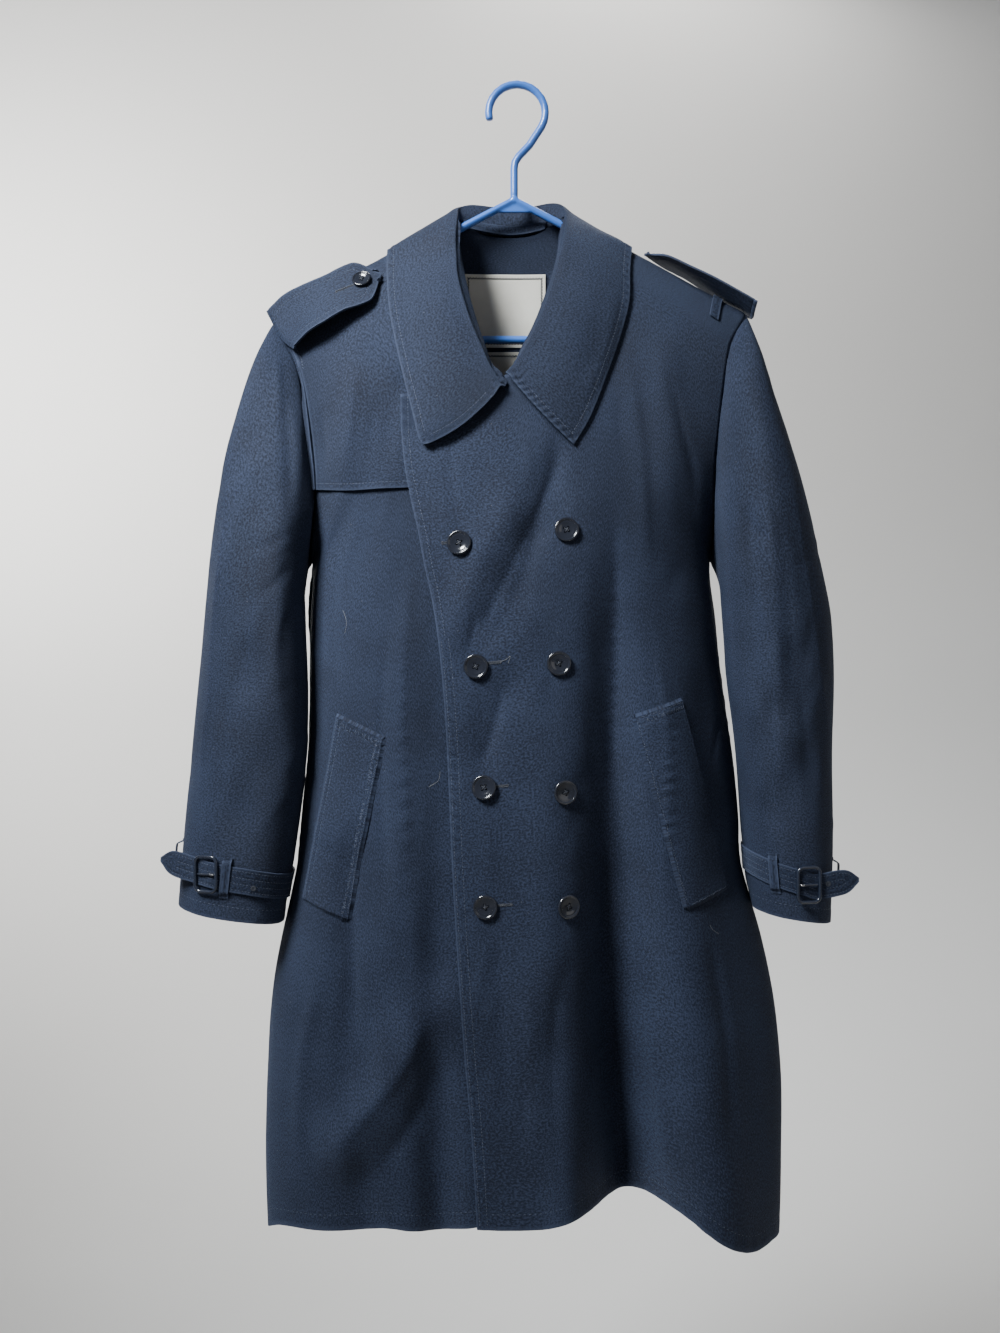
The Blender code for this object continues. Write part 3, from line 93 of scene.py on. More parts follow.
def boundaryLoops(bm):
    left = {edge for edge in bm.edges if edge.is_boundary}
    loops = []
    while left:
        loop = list(left.pop().verts)
        while loop[-1] is not loop[0]:
            edge = next(edge for edge in loop[-1].link_edges if edge in left)
            left.discard(edge)
            loop.append(edge.other_vert(loop[-1]))
        loops.append(loop[:-1])
    return loops


def treeOf(places):
    tree = KDTree(len(places))
    for i, place in enumerate(places):
        tree.insert(place, i)
    tree.balance()
    return tree


def nodeMesh(*nodes):
    # a merged copy of CAD nodes
    bm = bmesh.new()
    for node in nodes:
        bm.from_mesh(frame["nodes"][node].data)
    bmesh.ops.remove_doubles(bm, verts=bm.verts[:], dist=1e-5)
    return bm


def outerSheet(node, wall, facing):
    # the wall without its rim and its far side; facing None keeps the larger side
    bm = nodeMesh(node)
    bm.verts.ensure_lookup_table()
    bm.normal_update()
    tree = treeOf([vert.co for vert in bm.verts])
    slack = 3e-5
    partner = {}
    for vert in bm.verts:
        near = [bm.verts[i] for _, i, gap in tree.find_range(vert.co, wall + slack) if gap > wall - slack]
        partner[vert] = min(near, key=lambda other: other.normal.dot(vert.normal))
    rim = [face for face in bm.faces if any(partner[vert] in face.verts for vert in face.verts)]
    bmesh.ops.delete(bm, geom=rim, context="FACES_ONLY")
    bm.faces.ensure_lookup_table()
    first = {bm.faces[0]}
    stack = [bm.faces[0]]
    while stack:
        face = stack.pop()
        for edge in face.edges:
            for other in edge.link_faces:
                if other not in first:
                    first.add(other)
                    stack.append(other)
    second = set(bm.faces) - first

    def merit(side):
        if facing is None:
            return sum(face.calc_area() for face in side)
        return sum(face.calc_area() * face.normal.dot(facing) for face in side)

    away = first if merit(second) > merit(first) else second
    bmesh.ops.delete(bm, geom=list(away), context="FACES")
    loose = [vert for vert in bm.verts if not vert.link_faces]
    bmesh.ops.delete(bm, geom=loose, context="VERTS")
    bm.normal_update()
    return bm


def gridArrays(table, columns, rows):
    # places and outward directions of vertices that are tabled by column and row
    return [np.array([[getattr(table[c, r], key) for r in range(rows + 1)] for c in range(columns + 1)])
            for key in ("co", "normal")]


def openGrid(bm, columns, rows):
    # rows rising, columns running to +X
    loop = boundaryLoops(bm)[0]
    found = []
    for chain in (loop, loop[::-1]):
        for start in range(len(chain)):
            turned = chain[start:] + chain[:start]
            corners = [turned[i] for i in (0, columns, columns + rows, 2 * columns + rows)]
            if any(len(vert.link_faces) > 2 for vert in corners):
                continue
            up = ringsFrom(turned[: columns + 1])
            across = ringsFrom(turned[2 * columns + rows:] + turned[:1])
            if max(up.values()) != rows or max(across.values()) != columns:
                continue
            table = {(across[vert], up[vert]): vert for vert in bm.verts}
            if len(table) == (columns + 1) * (rows + 1):
                a, b, c, d = (vert.co for vert in corners)
                found.append((3 * (c.z + d.z - a.z - b.z) + b.x + c.x - a.x - d.x, table))
    return gridArrays(max(found, key=lambda item: item[0])[1], columns, rows)


def ringGrid(bm, columns, rows):
    # the same for a tube, from its lower edge up; the first column is repeated at the end
    loops = sorted(boundaryLoops(bm), key=lambda loop: sum(vert.co.z for vert in loop) / len(loop))
    up = ringsFrom(loops[0])
    start = max(range(columns), key=lambda i: loops[0][i].co.x)
    ring = loops[0][start:] + loops[0][:start]
    if ring[1].co.y > ring[-1].co.y:
        ring = ring[:1] + ring[:0:-1]
    rings = [ring]
    for row in range(1, rows + 1):
        loop = [next(vert for vert in bm.verts if up[vert] == row)]
        while len(loop) < columns:
            loop.append(next(other for other in (edge.other_vert(loop[-1]) for edge in loop[-1].link_edges)
                             if up[other] == row and other not in loop))
        below = rings[-1]
        trials = [turned[shift:] + turned[:shift] for turned in (loop, loop[::-1]) for shift in range(columns)]
        joined = [trial for trial in trials if all(any(edge.other_vert(low) is high for edge in low.link_edges)
                                                   for low, high in zip(below, trial))]
        rings.append(min(joined, key=lambda trial: sum((low.co - high.co).length for low, high in zip(below, trial))))
    table = {(c, r): ring[c % columns] for r, ring in enumerate(rings) for c in range(columns + 1)}
    return gridArrays(table, columns, rows)


def cadGrid(node, columns, rows, wall, facing=None, ring=False):
    bm = outerSheet(node, wall, facing)
    grid = ringGrid(bm, columns, rows) if ring else openGrid(bm, columns, rows)
    bm.free()
    return grid


def throughPoints(points, stations, closed=False):
    # a smooth curve through rows of points, read at stations from 0 to 1 along the first axis
    last = len(points) - 1
    at = np.asarray(stations, float) * last
    low = np.clip(at.astype(int), 0, last - 1)
    t = (at - low).reshape((-1,) + (1,) * (points.ndim - 1))
    if closed:
        before, after = points[(low - 1) % last], points[(low + 2) % last]
    else:
        before = np.where((low > 0).reshape(t.shape), points[np.maximum(low - 1, 0)],
                          2 * points[low] - points[low + 1])
        after = np.where((low < last - 1).reshape(t.shape), points[np.minimum(low + 2, last)],
                         2 * points[low + 1] - points[low])
    a, b = points[low], points[low + 1]
    return 0.5 * (2 * a + (b - before) * t + (2 * before - 5 * a + 4 * b - after) * t ** 2
                  + (3 * a - 3 * b + after - before) * t ** 3)


def ladderGrid(bm, columns, rows):
    # the same for a strap with few rows, from its two long edges alone
    loop = boundaryLoops(bm)[0]
    tree = BVHTree.FromBMesh(bm)
    pairs = []
    for start in range(len(loop)):
        chain = loop[start:] + loop[:start]
        pairs.append((chain[: columns + 1], chain[columns + rows: 2 * columns + rows + 1][::-1]))
    low, high = min(pairs, key=lambda pair: sum((a.co - b.co).length for a, b in zip(*pair)))
    if sum(b.co.z - a.co.z for a, b in zip(low, high)) < 0:
        low, high = high, low
    if low[-1].co.x < low[0].co.x:
        low, high = low[::-1], high[::-1]
    co = np.zeros((columns + 1, rows + 1, 3))
    out = np.zeros_like(co)
    for c, r in np.ndindex(columns + 1, rows + 1):
        co[c, r], out[c, r], _, _ = tree.find_nearest(low[c].co.lerp(high[c].co, r / rows))
    return co, out


# cloth as fine sheets that can be shaped

def lengthAlong(points):
    steps = np.linalg.norm(np.diff(points, axis=0), axis=-1)
    return float(steps.sum(axis=0).mean())


def makeSheet(co, out, columns, rows, closed):
    # a finer grid of places on the smooth surface through a coarse one, as a sheet
    places = throughPoints(co, np.linspace(0, 1, columns + 1), closed)
    places = np.swapaxes(throughPoints(np.swapaxes(places, 0, 1), np.linspace(0, 1, rows + 1)), 0, 1)
    middle = (len(co) // 2, co.shape[1] // 2)
    return sheetThrough(places, Vector(co[middle]), Vector(out[middle]), closed)


def sheetThrough(places, spot, facing, closed=False):
    # a bmesh grid through the places, faces outwards, with its own cloth coordinates
    columns, rows = places.shape[0] - 1, places.shape[1] - 1
    width = lengthAlong(places)
    height = lengthAlong(np.swapaxes(places, 0, 1))
    bm = bmesh.new()
    bmesh.ops.create_grid(bm, x_segments=columns, y_segments=rows, size=0.5)
    across = bm.verts.layers.float.new("across")
    up = bm.verts.layers.float.new("up")
    for vert in bm.verts:
        vert[across], vert[up] = vert.co.x + 0.5, vert.co.y + 0.5
        vert.co = places[round(vert[across] * columns), round(vert[up] * rows)]
    uv = bm.loops.layers.uv.new("cloth")
    for face in bm.faces:
        for loop in face.loops:
            loop[uv].uv = (loop.vert[across] * width, loop.vert[up] * height)
    bm.normal_update()
    face = min(bm.faces, key=lambda face: (face.calc_center_median() - spot).length)
    if face.normal.dot(facing) < 0:
        bmesh.ops.reverse_faces(bm, faces=bm.faces[:])
    if closed:
        ends = {0: {}, 1: {}}
        for vert in bm.verts:
            if min(vert[across], 1 - vert[across]) < 1e-6:
                ends[round(vert[across])][round(vert[up] * rows)] = vert
        bmesh.ops.weld_verts(bm, targetmap={ends[1][row]: vert for row, vert in ends[0].items()})
    return bm


def sideVerts(bm, side):
    # the vertices of one side in order
    across, up = (bm.verts.layers.float[key] for key in ("across", "up"))
    key, other = (across, up) if side in ("left", "right") else (up, across)
    value = side in ("right", "high")
    return sorted((vert for vert in bm.verts if abs(vert[key] - value) < 1e-5), key=lambda vert: vert[other])


def densePath(points, step=0.5 * mm):
    # a path with a point every half millimetre, and how far along it each point lies
    points = np.asarray(points, float)
    along = np.concatenate([[0], np.cumsum(np.linalg.norm(np.diff(points, axis=0), axis=1))])
    at = np.arange(0, along[-1], step)
    return np.stack([np.interp(at, along, points[:, axis]) for axis in range(3)], axis=1), at


def nearPath(co, points):
    # each vertex's distance from a path, and how far along the path its nearest point lies
    path, at = densePath(points)
    tree = treeOf(path)
    found = [tree.find(place) for place in co]
    return np.array([f[2] for f in found]), at[[f[1] for f in found]]


def refineNear(bm, sides, reach):
    # one more cut across every edge that lies close to the given sides
    for side in sides:
        run = [vert.co.copy() for vert in sideVerts(bm, side)]
        distance, _ = nearPath([vert.co for vert in bm.verts], run)
        close = {vert for vert, gap in zip(bm.verts, distance) if gap < reach}
        edges = [edge for edge in bm.edges if edge.verts[0] in close and edge.verts[1] in close]
        bmesh.ops.subdivide_edges(bm, edges=edges, cuts=1, use_grid_fill=True)


def ease(t):
    t = np.clip(t, 0, 1)
    return t * t * (3 - 2 * t)


# points per span, widths that a fold reaches, and the share of its length that fades at each end
foldSteps, foldReach, foldTaper = 12, 3, 0.3


def foldLift(co, points, width, height, lean=0.0):
    # a soft ridge, or a trough below zero, along a curve through points seen from the front;
    # lean makes one flank steeper than the other
    points = np.asarray(points, float)
    line = throughPoints(points, np.linspace(0, 1, foldSteps * (len(points) - 1) + 1))
    way = np.gradient(line, axis=0)
    way /= np.linalg.norm(way, axis=1)[:, None]
    flat = co[:, [0, 2]]
    lift = np.zeros(len(co))
    reach = foldReach * width
    box = ((flat > line.min(0) - reach) & (flat < line.max(0) + reach)).all(1)
    near = flat[box]
    if not len(near):
        return lift
    gaps = near[:, None, :] - line[None]
    nearest = (gaps ** 2).sum(2).argmin(1)
    gap = near - line[nearest]
    aside = gap[:, 0] * way[nearest, 1] - gap[:, 1] * way[nearest, 0]
    beyond = np.abs((gap * way[nearest]).sum(1))
    share = nearest / (len(line) - 1)
    taper = ease(share / foldTaper) * ease((1 - share) / foldTaper)
    scale = width * (1 + lean * np.sign(aside))
    lift[box] = height * taper * np.exp(-(aside / scale) ** 2 - (beyond / width) ** 2)
    return lift


foldWidth, foldDepth = 0.88, 1.4  # how sharp and how deep the placed folds are


def addFolds(co, rows):
    # x z x z x z seen from the front, width, height (all millimetres) and lean
    lift = np.zeros(len(co))
    for *spots, width, height, lean in rows:
        points = np.reshape(spots, (3, 2)) * mm
        lift += foldLift(co, points, foldWidth * width * mm, foldDepth * height * mm, lean)
    return lift


def addCreases(co, creases):
    lift = np.zeros(len(co))
    for width, height, spots in creases:
        lift += foldLift(co, np.reshape(spots, (-1, 2)) * mm, width * mm, height * mm)
    return lift


def looseWrinkles(co, count, tilt, spread, lengths, widths, heights):
    # short soft creases scattered over the cloth, mostly along the hang of it;
    # lengths are metres, widths and heights millimetres
    lift = np.zeros(len(co))
    low, high = co.min(0), co.max(0)
    for _ in range(count):
        x = dice.uniform(low[0], high[0])
        z = dice.uniform(low[2], high[2])
        turn = tilt + dice.gauss(0, spread)
        half = dice.uniform(*lengths) / 2
        dx, dz = math.sin(turn) * half, math.cos(turn) * half
        bow = dice.uniform(-0.15, 0.15) * half
        height = dice.choice((-1, 1)) * dice.uniform(*heights) * mm
        lift += foldLift(co, ((x - dx, z + dz), (x + bow, z), (x + dx, z - dz)),
                         dice.uniform(*widths) * mm, height, dice.uniform(-0.3, 0.3))
    return lift


def softWaves(co, seed, size, height, count=7):
    # a slow unevenness of the whole surface
    waves = random.Random(seed)
    lift = np.zeros(len(co))
    for _ in range(count):
        turn = waves.uniform(0, math.pi)
        pitch = size * waves.uniform(0.6, 1.5)
        phase = waves.uniform(0, 2 * math.pi)
        lift += np.sin((co[:, 0] * math.cos(turn) + 0.6 * co[:, 2] * math.sin(turn)) * 2 * math.pi / pitch + phase)
    return lift * height / count ** 0.5


def puckers(distance, along, rule):
    # the small slanted gathers that a row of stitches leaves along an edge; odd periods keep them uneven
    pitch = rule["pitch"] * mm
    phase = (along + rule["slant"] * distance) / pitch
    wander = 0.8 * np.sin(along / (3.7 * pitch) + rule["seed"]) + 0.5 * np.sin(along / (1.9 * pitch) + 2)
    strength = 0.55 + 0.45 * np.sin(along / (5.3 * pitch) + 1.7 * rule["seed"])
    middle = rule["inset"] * mm * 0.5
    band = np.exp(-((distance - middle) / (rule["reach"] * mm)) ** 2)
    return rule["height"] * mm * strength * band * np.sin(2 * math.pi * phase + 2.5 * wander)


def stitchGroove(distance, inset, depth=0.28 * mm, width=1.3 * mm):
    return -depth * np.exp(-((distance - inset * mm) / width) ** 2)


def seamAllowance(bm, side, steps):
    # cloth that goes on past a seam and dips under its neighbour: millimetres outwards, millimetres inwards
    verts = sideVerts(bm, side)
    bm.normal_update()
    edgeVerts = set(verts)
    marks = [bm.verts.layers.float[key] for key in ("across", "up")]
    ways = {}
    for vert, run in zip(verts, np.gradient(np.array([vert.co for vert in verts]), axis=0)):
        out = Vector(run).cross(vert.normal).normalized()
        if out.dot(vert.co - vert.link_faces[0].calc_center_median()) < 0:
            out.negate()
        ways[vert] = (vert.co.copy(), out, vert.normal.copy())
    edges = [edge for edge in bm.edges if edge.is_boundary and all(vert in edgeVerts for vert in edge.verts)]
    for outwards, inwards in steps:
        grown = bmesh.ops.extrude_edge_only(bm, edges=edges)["geom"]
        follow = {}
        for vert in grown:
            if isinstance(vert, bmesh.types.BMVert):
                source = next(edge.other_vert(vert) for edge in vert.link_edges if edge.other_vert(vert) in ways)
                follow[vert] = place, out, normal = ways[source]
                vert.co = place + out * outwards * mm - normal * inwards * mm
                for mark in marks:
                    vert[mark] = 2.0  # beyond every side
        ways = follow
        edges = [item for item in grown if isinstance(item, bmesh.types.BMEdge)]


def shapeCloth(bm, lift, wear):
    # the lifts go along the normals, and the edge wear with its painted highlight stays with each vertex
    layer = bm.verts.layers.float.new("wear")
    bm.normal_update()
    for vert, rise, amount in zip(bm.verts, lift, wear):
        vert.co += vert.normal * rise
        vert[layer] = amount


def addObject(name, bm, material):
    mesh = bpy.data.meshes.new(name)
    bm.to_mesh(mesh)
    bm.free()
    mesh.shade_smooth()
    mesh.materials.append(material)
    piece = bpy.data.objects.new(name, mesh)
    bpy.context.scene.collection.objects.link(piece)
    return piece


def thicken(piece, wall, rim):
    solid = piece.modifiers.new("wall", "SOLIDIFY")
    solid.thickness = wall
    solid.offset = -1
    solid.use_quality_normals = True
    bevel = piece.modifiers.new("rim", "BEVEL")
    bevel.width = rim
    bevel.segments = 2
    bevel.limit_method = "ANGLE"
    bevel.angle_limit = math.radians(55)


def settle(piece, slot, *nodes):
    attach(piece, body)
    if nodes:
        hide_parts(*nodes)


# materials: shared effects, cloth, then plastic, metal, thread and label

def setInputs(tree, node, inputs):
    # each input is linked to a socket or set to a value; colours come without their alpha
    for key, value in inputs.items():
        if isinstance(value, bpy.types.NodeSocket):
            tree.links.new(value, node.inputs[key])
        else:
            node.inputs[key].default_value = (*value, 1) if isinstance(value, tuple) else value


def addNode(tree, kind, inputs, **settings):
    node = tree.nodes.new("ShaderNode" + kind)
    for key, value in settings.items():
        setattr(node, key, value)
    setInputs(tree, node, inputs)
    return node


def mathNode(tree, operation, *values):
    return addNode(tree, "Math", dict(enumerate(values)), operation=operation).outputs[0]


def mixColours(tree, factor, dark, light):
    return addNode(tree, "Mix", {"Factor": factor, "A": dark, "B": light}, data_type="RGBA").outputs["Result"]


def nodeGroup(name, vector, number, start, outputs):
    group = bpy.data.node_groups.new(name, "ShaderNodeTree")
    group.interface.new_socket(name=vector, in_out="INPUT", socket_type="NodeSocketVector")
    group.interface.new_socket(name=number, in_out="INPUT", socket_type="NodeSocketFloat").default_value = start
    for label in outputs:
        group.interface.new_socket(name=label, in_out="OUTPUT", socket_type="NodeSocketFloat")
    return group, group.nodes.new("NodeGroupInput"), group.nodes.new("NodeGroupOutput")


def makeTwill():
    # fine diagonal ribs with uneven threads, from the cloth's own coordinates
    group, entry, leave = nodeGroup("twill weave", "Cloth", "Pitch", 0.0006, ("Height", "Fleck"))
    split = addNode(group, "SeparateXYZ", {0: entry.outputs["Cloth"]})
    slope = mathNode(group, "MULTIPLY", split.outputs["Y"], 0.7)
    ribs = mathNode(group, "DIVIDE", mathNode(group, "ADD", split.outputs["X"], slope), entry.outputs["Pitch"])
    wander = addNode(group, "TexNoise", {"Scale": 90, "Detail": 2, "Vector": entry.outputs["Cloth"]})
    bent = mathNode(group, "ADD", ribs, mathNode(group, "MULTIPLY", wander.outputs["Fac"], 1.4))
    wave = mathNode(group, "SINE", mathNode(group, "MULTIPLY", bent, 2 * math.pi))
    threads = mathNode(group, "DIVIDE", split.outputs["Y"], entry.outputs["Pitch"])
    cross = mathNode(group, "SINE", mathNode(group, "MULTIPLY", threads, 2.6 * math.pi))
    speck = addNode(group, "TexNoise", {"Scale": 520, "Detail": 1, "Roughness": 0.7,
                                        "Vector": entry.outputs["Cloth"]})
    setInputs(group, leave, {"Height": mathNode(group, "ADD", wave, mathNode(group, "MULTIPLY", cross, 0.35)),
                             "Fleck": speck.outputs["Fac"]})
    return group


def makeHandling():
    # slow patches from wear, pressing and dust
    group, entry, leave = nodeGroup("handling", "Place", "Patch size", 14.0, ("Patches", "Lint"))
    patches = addNode(group, "TexNoise", {"Detail": 4, "Roughness": 0.6, "Vector": entry.outputs["Place"],
                                          "Scale": entry.outputs["Patch size"]})
    lint = addNode(group, "TexVoronoi", {"Scale": 62, "Vector": entry.outputs["Place"]})
    setInputs(group, leave, {"Patches": patches.outputs["Fac"],
                             "Lint": mathNode(group, "LESS_THAN", lint.outputs["Distance"], 0.035)})
    return group


twill = makeTwill()
handling = makeHandling()


def newMaterial(name):
    material = bpy.data.materials.new(name)
    material.use_nodes = True
    return material, material.node_tree, material.node_tree.nodes["Principled BSDF"]


def objectPlace(tree):
    return addNode(tree, "TexCoord", {}).outputs["Object"]


def weaveOutputs(tree, pitch):
    cloth = addNode(tree, "UVMap", {}, uv_map="cloth")
    return addNode(tree, "Group", {"Pitch": pitch, "Cloth": cloth.outputs["UV"]}, node_tree=twill).outputs


def patchOutputs(tree, size):
    return addNode(tree, "Group", {"Patch size": size, "Place": objectPlace(tree)}, node_tree=handling).outputs


# the third tone, lighter still, goes along the edges: partly real wear, partly a painted highlight where light catches
# the edges
gabardine = {"dark": (0.0070, 0.0105, 0.0235), "light": (0.0270, 0.0385, 0.0740), "worn": (0.050, 0.066, 0.115),
             "lint": (0.16, 0.17, 0.19), "sheenTint": (0.50, 0.64, 1.0), "pitch": 0.0006, "patchSize": 14.0}


def clothMaterial(name, shade=1.0):
    material, tree, shader = newMaterial(name)
    weave, patches = weaveOutputs(tree, gabardine["pitch"]), patchOutputs(tree, gabardine["patchSize"])
    dark, light, worn = (tuple(value * shade for value in gabardine[key]) for key in ("dark", "light", "worn"))
    mixed = mathNode(tree, "ADD", mathNode(tree, "MULTIPLY", weave["Fleck"], 0.76),
                     mathNode(tree, "MULTIPLY", patches["Patches"], 0.24))
    spread = addNode(tree, "MapRange", {"From Min": 0.40, "From Max": 0.62, "Value": mixed})
    base = mixColours(tree, spread.outputs["Result"], dark, light)
    # the edges are painted lighter: partly real wear, partly a painted highlight where the light catches them
    wear = addNode(tree, "Attribute", {}, attribute_name="wear")
    rubbedAndLit = mathNode(tree, "MULTIPLY", wear.outputs["Fac"], mathNode(tree, "ADD", patches["Patches"], 0.2))
    base = mixColours(tree, rubbedAndLit, base, worn)
    base = mixColours(tree, mathNode(tree, "MULTIPLY", patches["Lint"], 0.35), base, gabardine["lint"])
    rough = addNode(tree, "MapRange", {"To Min": 0.66, "To Max": 0.84, "Value": patches["Patches"]})
    bump = addNode(tree, "Bump", {"Strength": 0.55, "Distance": 0.00012, "Height": weave["Height"]})
    grain = addNode(tree, "Bump", {"Strength": 0.35, "Distance": 0.0006, "Height": weave["Fleck"],
                                   "Normal": bump.outputs["Normal"]})
    setInputs(tree, shader, {"Base Color": base, "Roughness": rough.outputs["Result"],
                             "Normal": grain.outputs["Normal"], "Specular IOR Level": 0.26,
                             "Sheen Weight": 0.07, "Sheen Roughness": 0.42, "Sheen Tint": gabardine["sheenTint"]})
    return material


def plasticMaterial(name, dark, light, roughness, coat, coatRoughness):
    material, tree, shader = newMaterial(name)
    patches = patchOutputs(tree, 60)
    rough = addNode(tree, "MapRange", {"To Min": roughness * 0.8, "To Max": roughness * 1.3,
                                       "Value": patches["Patches"]})
    setInputs(tree, shader, {"Base Color": mixColours(tree, patches["Patches"], dark, light),
                             "Roughness": rough.outputs["Result"], "Coat Weight": coat,
                             "Coat Roughness": coatRoughness})
    return material


def noiseMaterial(name, scale, dark, light, inputs):
    material, tree, shader = newMaterial(name)
    noise = addNode(tree, "TexNoise", {"Scale": scale, "Vector": objectPlace(tree)})
    setInputs(tree, shader, {"Base Color": mixColours(tree, noise.outputs["Fac"], dark, light), **inputs})
    return material


def threadMaterial(name, dark, light):
    return noiseMaterial(name, 420, dark, light, {"Roughness": 0.55, "Sheen Weight": 0.3})


def metalMaterial(name, dark, light):
    material, tree, shader = newMaterial(name)
    setInputs(tree, shader, {"Base Color": mixColours(tree, patchOutputs(tree, 300)["Patches"], dark, light),
                             "Metallic": 1.0, "Roughness": 0.24})
    return material


def labelMaterial(name, dark, light):
    # a damask label: fine bars across the weave and a little yellowing
    material, tree, shader = newMaterial(name)
    height = weaveOutputs(tree, 0.0009)["Height"]
    bump = addNode(tree, "Bump", {"Strength": 0.6, "Distance": 0.0002, "Height": height})
    setInputs(tree, shader, {"Base Color": mixColours(tree, patchOutputs(tree, 40)["Patches"], dark, light),
                             "Normal": bump.outputs["Normal"], "Roughness": 0.6, "Sheen Weight": 0.2})
    return material


coatCloth = clothMaterial("navy gabardine")
# the trim copy of the coat cloth is painted 8% darker, as painted shade on the collar, straps and loops
shadedTrimCloth = clothMaterial("navy gabardine, doubled", shade=0.92)
labelCloth = labelMaterial("woven label", (0.70, 0.67, 0.58), (0.84, 0.82, 0.74))
hangerPlastic = plasticMaterial("blue hanger plastic", (0.045, 0.150, 0.520), (0.062, 0.190, 0.600), 0.30, 0.35, 0.14)
buttonPlastic = plasticMaterial("dark button plastic", (0.008, 0.010, 0.016), (0.013, 0.016, 0.026), 0.16, 0.8, 0.05)
bucklePlastic = plasticMaterial("dark buckle plastic", (0.010, 0.014, 0.026), (0.016, 0.022, 0.040), 0.20, 0.7, 0.08)
chrome = metalMaterial("worn chrome", (0.42, 0.42, 0.43), (0.66, 0.65, 0.63))
navyThread = threadMaterial("navy sewing thread", (0.030, 0.042, 0.075), (0.075, 0.095, 0.150))
# this dark thread also serves as the painted shade of the buttonhole slits and eyelet holes
darkThreadAndShade = threadMaterial("dark buttonhole thread", (0.010, 0.013, 0.022), (0.024, 0.030, 0.048))
greyThread = threadMaterial("grey label thread", (0.018, 0.020, 0.026), (0.045, 0.048, 0.056))
lintWhite = threadMaterial("pale lint", (0.22, 0.23, 0.25), (0.36, 0.37, 0.38))
print("materials ready")


# how sheets become pieces of cloth

front, behind, above = Vector((0, -1, 0)), Vector((0, 1, 0)), Vector((0, -0.6, 1))
sideNames = ("left", "right", "low", "high")
edgeStitch = {"inset": 8, "height": 0.55, "pitch": 11, "reach": 5.5, "slant": 0.55, "seed": 1}
seamStitch = {"inset": 5, "height": 0.30, "pitch": 13, "reach": 6, "slant": 0.3, "seed": 2}
hemStitch = {"inset": 16, "height": 0.35, "pitch": 19, "reach": 11, "slant": 0.4, "seed": 3}
seamEdge = ((0.7, 0.9), (3.5, 1.3))
# the second: how far the edge wear with its painted highlight reaches in from a side
refineReach, wearAndHighlightReach, waveSize = 10 * mm, 1.6 * mm, 0.11

# what holds for a piece whose own rule says nothing else
clothDefaults = {"wall": 1.8, "rim": 0.6, "facing": front, "tube": False, "strap": False, "slot": "coat_cloth",
                 "refined": (), "edges": {}, "grooves": {}, "wear": (), "folds": (), "wrinkles": None, "seed": 5,
                 "unevenness": 0.35, "shape": None, "on": (), "allowance": {}, "restsOn": ["hanger_arms"]}
cloths = {"coat_cloth": coatCloth, "trim_cloth": shadedTrimCloth, "label_cloth": labelCloth}
made = {}


def carriedLift(names, co, reach=7 * mm, count=3, slack=0.2 * mm):
    # what the shaping of the cloth beneath lifts or lowers at places that lie on it
    total = np.zeros(len(co))
    for name in names:
        tree, lifts = made[name]["lifts"]
        for i, place in enumerate(co):
            found = tree.find_n(place, count)
            weights = [1 / (gap + slack) for _, _, gap in found]
            lift = sum(lifts[index] * weight for (_, index, _), weight in zip(found, weights)) / sum(weights)
            total[i] += lift * float(ease((2 * reach - found[0][2]) / reach))
    return total


def edgeWork(bm, rule, co):
    # gathers, stitch grooves and edge wear with a painted highlight along the sides of a sheet
    lift, wear = np.zeros(len(co)), np.zeros(len(co))
    for side in sideNames:
        gathers, grooves, worn = rule["edges"].get(side), rule["grooves"].get(side, ()), side in rule["wear"]
        if not (gathers or grooves or worn):
            continue
        distance, along = nearPath(co, [vert.co for vert in sideVerts(bm, side)])
        if gathers:
            lift += puckers(distance, along, gathers)
        for inset in grooves:
            lift += stitchGroove(distance, inset)
        if worn:
            wear += np.exp(-(distance / wearAndHighlightReach) ** 2)
    return lift, np.clip(wear, 0, 1)


def readSheet(name, rule):
    wall = rule["wall"] * mm
    if rule["strap"]:
        co, out = ladderGrid(outerSheet(name, wall, rule["facing"]), *rule["grid"])
    else:
        co, out = cadGrid(name, *rule["grid"], wall, rule["facing"], rule["tube"])
    return makeSheet(co, out, *rule["fine"], rule["tube"])


def clothPiece(name, own, bm=None, nodes=None):
    rule = {**clothDefaults, **own}
    bm = bm or readSheet(name, rule)
    refineNear(bm, rule["refined"], refineReach)
    bm.normal_update()
    co, normals = (np.array([getattr(vert, key) for vert in bm.verts]) for key in ("co", "normal"))
    lift, wear = edgeWork(bm, rule, co)
    lift += addFolds(co, rule["folds"])
    if rule["wrinkles"]:
        lift += looseWrinkles(co, *rule["wrinkles"])
    lift += softWaves(co, rule["seed"], waveSize, rule["unevenness"] * mm)
    if rule["shape"]:
        lift = rule["shape"](rule, co, normals, lift, bm)
    lift += carriedLift(rule["on"], co)
    area = sum(face.calc_area() for face in bm.faces)
    shapeCloth(bm, lift, wear)
    runs = {side: [vert.co.copy() for vert in sideVerts(bm, side)] for side in sideNames}
    for side, steps in rule["allowance"].items():
        seamAllowance(bm, side, steps)
    made[name] = {"surface": BVHTree.FromBMesh(bm), "runs": runs, "lifts": (treeOf(co), lift)}
    piece = addObject(name + "_cloth", bm, cloths[rule["slot"]])
    thicken(piece, rule["wall"] * mm, rule["rim"] * mm)
    settle(piece, rule["slot"], *(nodes or [name]))
    print(f"{name} shaped, {area:.4f} square metres")


# body panels

# how far a button pulls, how deep its dimple is, and the rays round it (metres; depth and rays millimetres)
pull = {"reach": 0.06, "layer": 0.02, "depth": 0.6, "dimple": 0.013, "rays": 0.22, "rayPlace": 0.020, "rayWidth": 0.010}
coverEnd, coverFade = 8 * mm, 4 * mm  # how near the upper front counts as lying over the lower one
buttonPlaces = [sum(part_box(node), Vector()) / 2 for node in frame["nodes"] if node.startswith("button_")]


